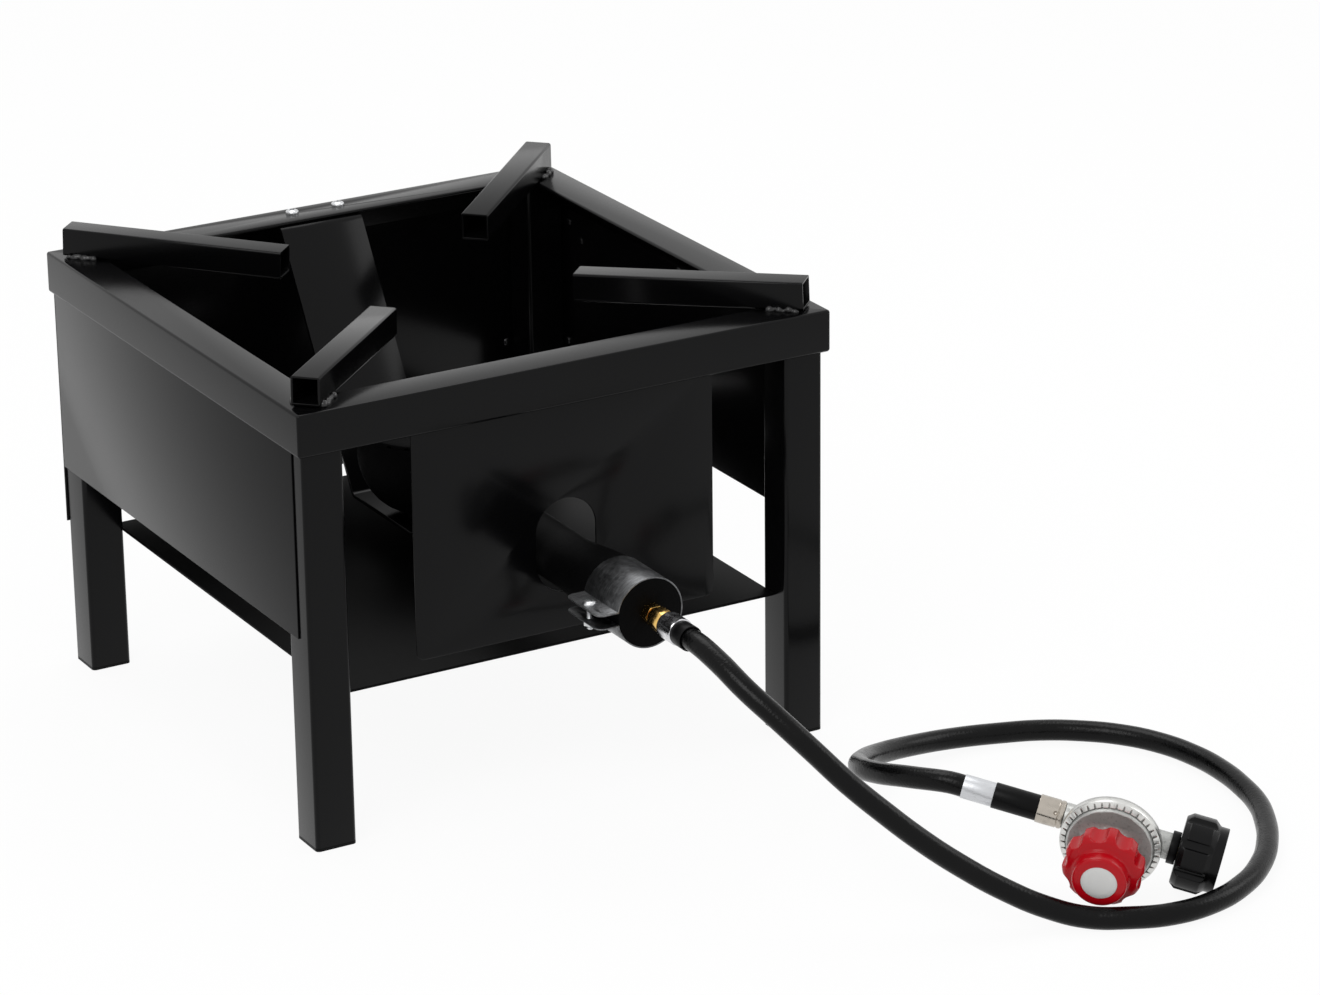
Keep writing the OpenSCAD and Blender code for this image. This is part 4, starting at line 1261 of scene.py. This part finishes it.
@dataclass
class TankNut(SubAssembly):
    """The black hand nut that screws on to a cylinder."""

    outline: Profile = (
        (22.5, 43.3), (25.5, 47.3), (25.5, 62.3), (22.0, 66.3), (22.0, 72.3),
    )
    bores: Bores = ((16.7, 49.3, 75), (8.3, 40, 50))

    def nut(self) -> None:
        """The nut with its grip grooves, web hole and mouth."""
        grip = Fluted(
            self.outline, count=8, flute_radius=4.0, flute_centre=27.0, reach=(40, 76), bores=self.bores,
            rounds=3,
        )
        placed = Bench.placed(grip.build(), PLACES.port())
        self.finished(placed, "hand_nut", Look.NUT, Body.NUT, "tank_nut")


@dataclass
class Studio:
    """The camera, in millimetres, radians and pixels; the floor and lamps, in metres and watts."""

    focal: float = 4973.852
    pixels: Sequence[int] = (1320, 995)
    sensor: float = 36.0
    eye: Sequence[float] = (-1501.96, -2882.90, 1407.02)
    azimuth: float = 0.5197819
    elevation: float = 0.3642532
    bank: float = -0.0119698
    floor_size: float = 14.0
    floor_drop: float = 0.0006
    floor_white: Colour = (0.93, 0.93, 0.93)
    glow_share: float = 0.93
    surround: float = 0.62
    aim: Sequence[float] = (0.0, -0.1, 0.15)
    softboxes: Sequence[tuple[str, Sequence[float], float, float]] = (
        ("key_softbox", (-1.6, -1.2, 2.2), 1.3, 22),
        ("top_softbox", (0.3, 0.9, 2.6), 1.6, 20),
        ("side_softbox", (2.2, -0.8, 1.5), 1.2, 10),
    )

    def camera(self) -> None:
        """Puts the camera where the photograph was taken from."""
        data = bpy.data.cameras.new("photo_camera")
        data.sensor_fit = "HORIZONTAL"
        data.sensor_width = self.sensor
        data.lens = self.focal * self.sensor / self.pixels[0]
        data.clip_start, data.clip_end = 0.1, 50
        view = Vector((
            math.sin(self.azimuth) * math.cos(self.elevation),
            math.cos(self.azimuth) * math.cos(self.elevation),
            -math.sin(self.elevation),
        ))
        right = view.cross(Vector((0, 0, 1))).normalized()
        top = right.cross(view)
        across = math.cos(self.bank) * right + math.sin(self.bank) * top
        upward = -math.sin(self.bank) * right + math.cos(self.bank) * top
        turn = Matrix((across, upward, -view)).transposed().to_4x4()
        camera = bpy.data.objects.new("photo_camera", data)
        camera.matrix_world = Matrix.Translation(spot(*self.eye)) @ turn
        bpy.context.scene.collection.objects.link(camera)
        bpy.context.scene.camera = camera

    def floor(self) -> None:
        """A plain white floor that keeps the shadows."""
        Bench.clear()
        bpy.ops.mesh.primitive_plane_add(size=self.floor_size, location=(0, 0, -self.floor_drop))
        floor = bpy.context.object
        floor.name = "studio_floor"
        made = bpy.data.materials.new("floor_white")
        graph = Graph(made)
        shader = graph.tree.nodes["Principled BSDF"]
        shader.inputs["Base Color"].default_value = (*self.floor_white, 1)
        shader.inputs["Roughness"].default_value = 0.9
        shader.inputs["Specular IOR Level"].default_value = 0.0
        glow = graph.node("ShaderNodeEmission", {}, {"Color": (1, 1, 1), "Strength": 1.0})
        lit = Signal(graph, shader.outputs["BSDF"])
        white = Signal(graph, glow.outputs[0])
        share = graph.watched() * self.glow_share
        mixed = graph.node("ShaderNodeMixShader", {}, {0: share, 1: lit, 2: white})
        graph.feed(graph.tree.nodes["Material Output"].inputs["Surface"], Signal(graph, mixed.outputs[0]))
        floor.data.materials.append(made)

    def world(self) -> None:
        """A white surround for camera and mirrors, and a softer one for light."""
        world = bpy.data.worlds.new("studio")
        bpy.context.scene.world = world
        graph = Graph(world)
        background = graph.tree.nodes["Background"]
        background.inputs["Color"].default_value = (1, 1, 1, 1)
        rest = 1 - self.surround
        graph.feed(background.inputs["Strength"], self.surround + graph.watched() * rest)

    def lamp(self, name: str, at: Sequence[float], size: float, watts: float) -> None:
        """Hangs one softbox and aims it.

        Args:
            name: its name.
            at: its place.
            size: its side.
            watts: its power.
        """
        data = bpy.data.lights.new(name, "AREA")
        data.shape = "SQUARE"
        data.size = size
        data.energy = watts
        box = bpy.data.objects.new(name, data)
        way = Vector(self.aim) - Vector(at)
        box.matrix_world = Matrix.Translation(at) @ way.to_track_quat("-Z", "Y").to_matrix().to_4x4()
        bpy.context.scene.collection.objects.link(box)

    def light(self) -> None:
        """Lights the object softly from three sides."""
        self.world()
        for softbox in self.softboxes:
            self.lamp(*softbox)
        bpy.context.scene.view_settings.view_transform = "Standard"


def main() -> None:
    """Builds the studio and every sub-assembly."""
    logging.basicConfig(level=logging.INFO, format="%(message)s")
    studio = Studio()
    studio.camera()
    hose = GasHose({}, {
        "hose_sleeve_burner": (Look.FOOT, 0.3),
        "hose_label_band": (Look.LABEL, 0.1),
        "hose_sleeve_regulator": (Look.FOOT, 0.3),
    })
    hose.dress()
    hose.build()
    stand = Stand({"tack_welds": Look.WELD, "foot_caps": Look.FOOT}, {
        **{node: (Look.ENAMEL, 0.25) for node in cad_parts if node.startswith(("leg_", "pot_arm_"))},
        "wind_panel_left": (Look.ENAMEL, 0.3),
        "wind_panel_right": (Look.ENAMEL, 0.3),
        "wind_panel_rear": (Look.ENAMEL, 0.3),
        "front_panel": (Look.ENAMEL, 0.35),
        # painted shade: the shelf plate gets the darker, duller enamel for the shade inside the stand
        "shelf_plate": (Look.SOOTED, 0.5),
    })
    stand.dress()
    stand.rim()
    stand.beads()
    strap = HangerStrap({"strap_nuts": Look.ZINC_STEEL}, {"burner_strap": (Look.ENAMEL, 0.6)})
    strap.dress()
    strap.screws()
    Burner(
        {"burner_bolt": Look.ZINC_STEEL, "burner_washer": Look.ZINC_STEEL, "burner_nut": Look.ZINC_STEEL},
        {"burner_body": (Look.CAST, 0.5), "burner_cap": (Look.CAST, 0.3)},
    ).dress()
    shutter = AirShutter(
        {"shutter_nut": Look.ZINC_STEEL}, {"air_shutter": (Look.GALVANISED, 0.22)}, Body.SHUTTER
    )
    shutter.dress()
    shutter.screw()
    fittings = GasFittings({}, {"gas_orifice": (Look.BRASS, 0.3), "flare_nut": (Look.BRASS, 0.3)})
    fittings.dress()
    fittings.ferrules()
    Regulator(
        {
            "diaphragm": Look.SEAL,
            "diaphragm_plate": Look.ZINC_STEEL,
            "adjusting_spring": Look.ZINC_STEEL,
            "spring_button": Look.BRASS,
            "valve_stem": Look.BRASS,
            "nipple_seal": Look.SEAL,
        },
        {
            "regulator_body": (Look.CAST_ZINC, 0.4),
            "crimp_ring": (Look.CRIMP, 0.12),
            "regulator_bonnet": (Look.CAST_ZINC, 0.3),
            "inlet_nipple": (Look.BRASS, 0.3),
            "nut_collar": (Look.FOOT, 0.4),
        },
    ).dress()
    knob = RegulatorKnob({"adjusting_screw": Look.ZINC_STEEL})
    knob.dress()
    knob.knob()
    knob.dial()
    TankNut().nut()
    studio.floor()
    studio.light()


if __name__ == "__main__":
    main()
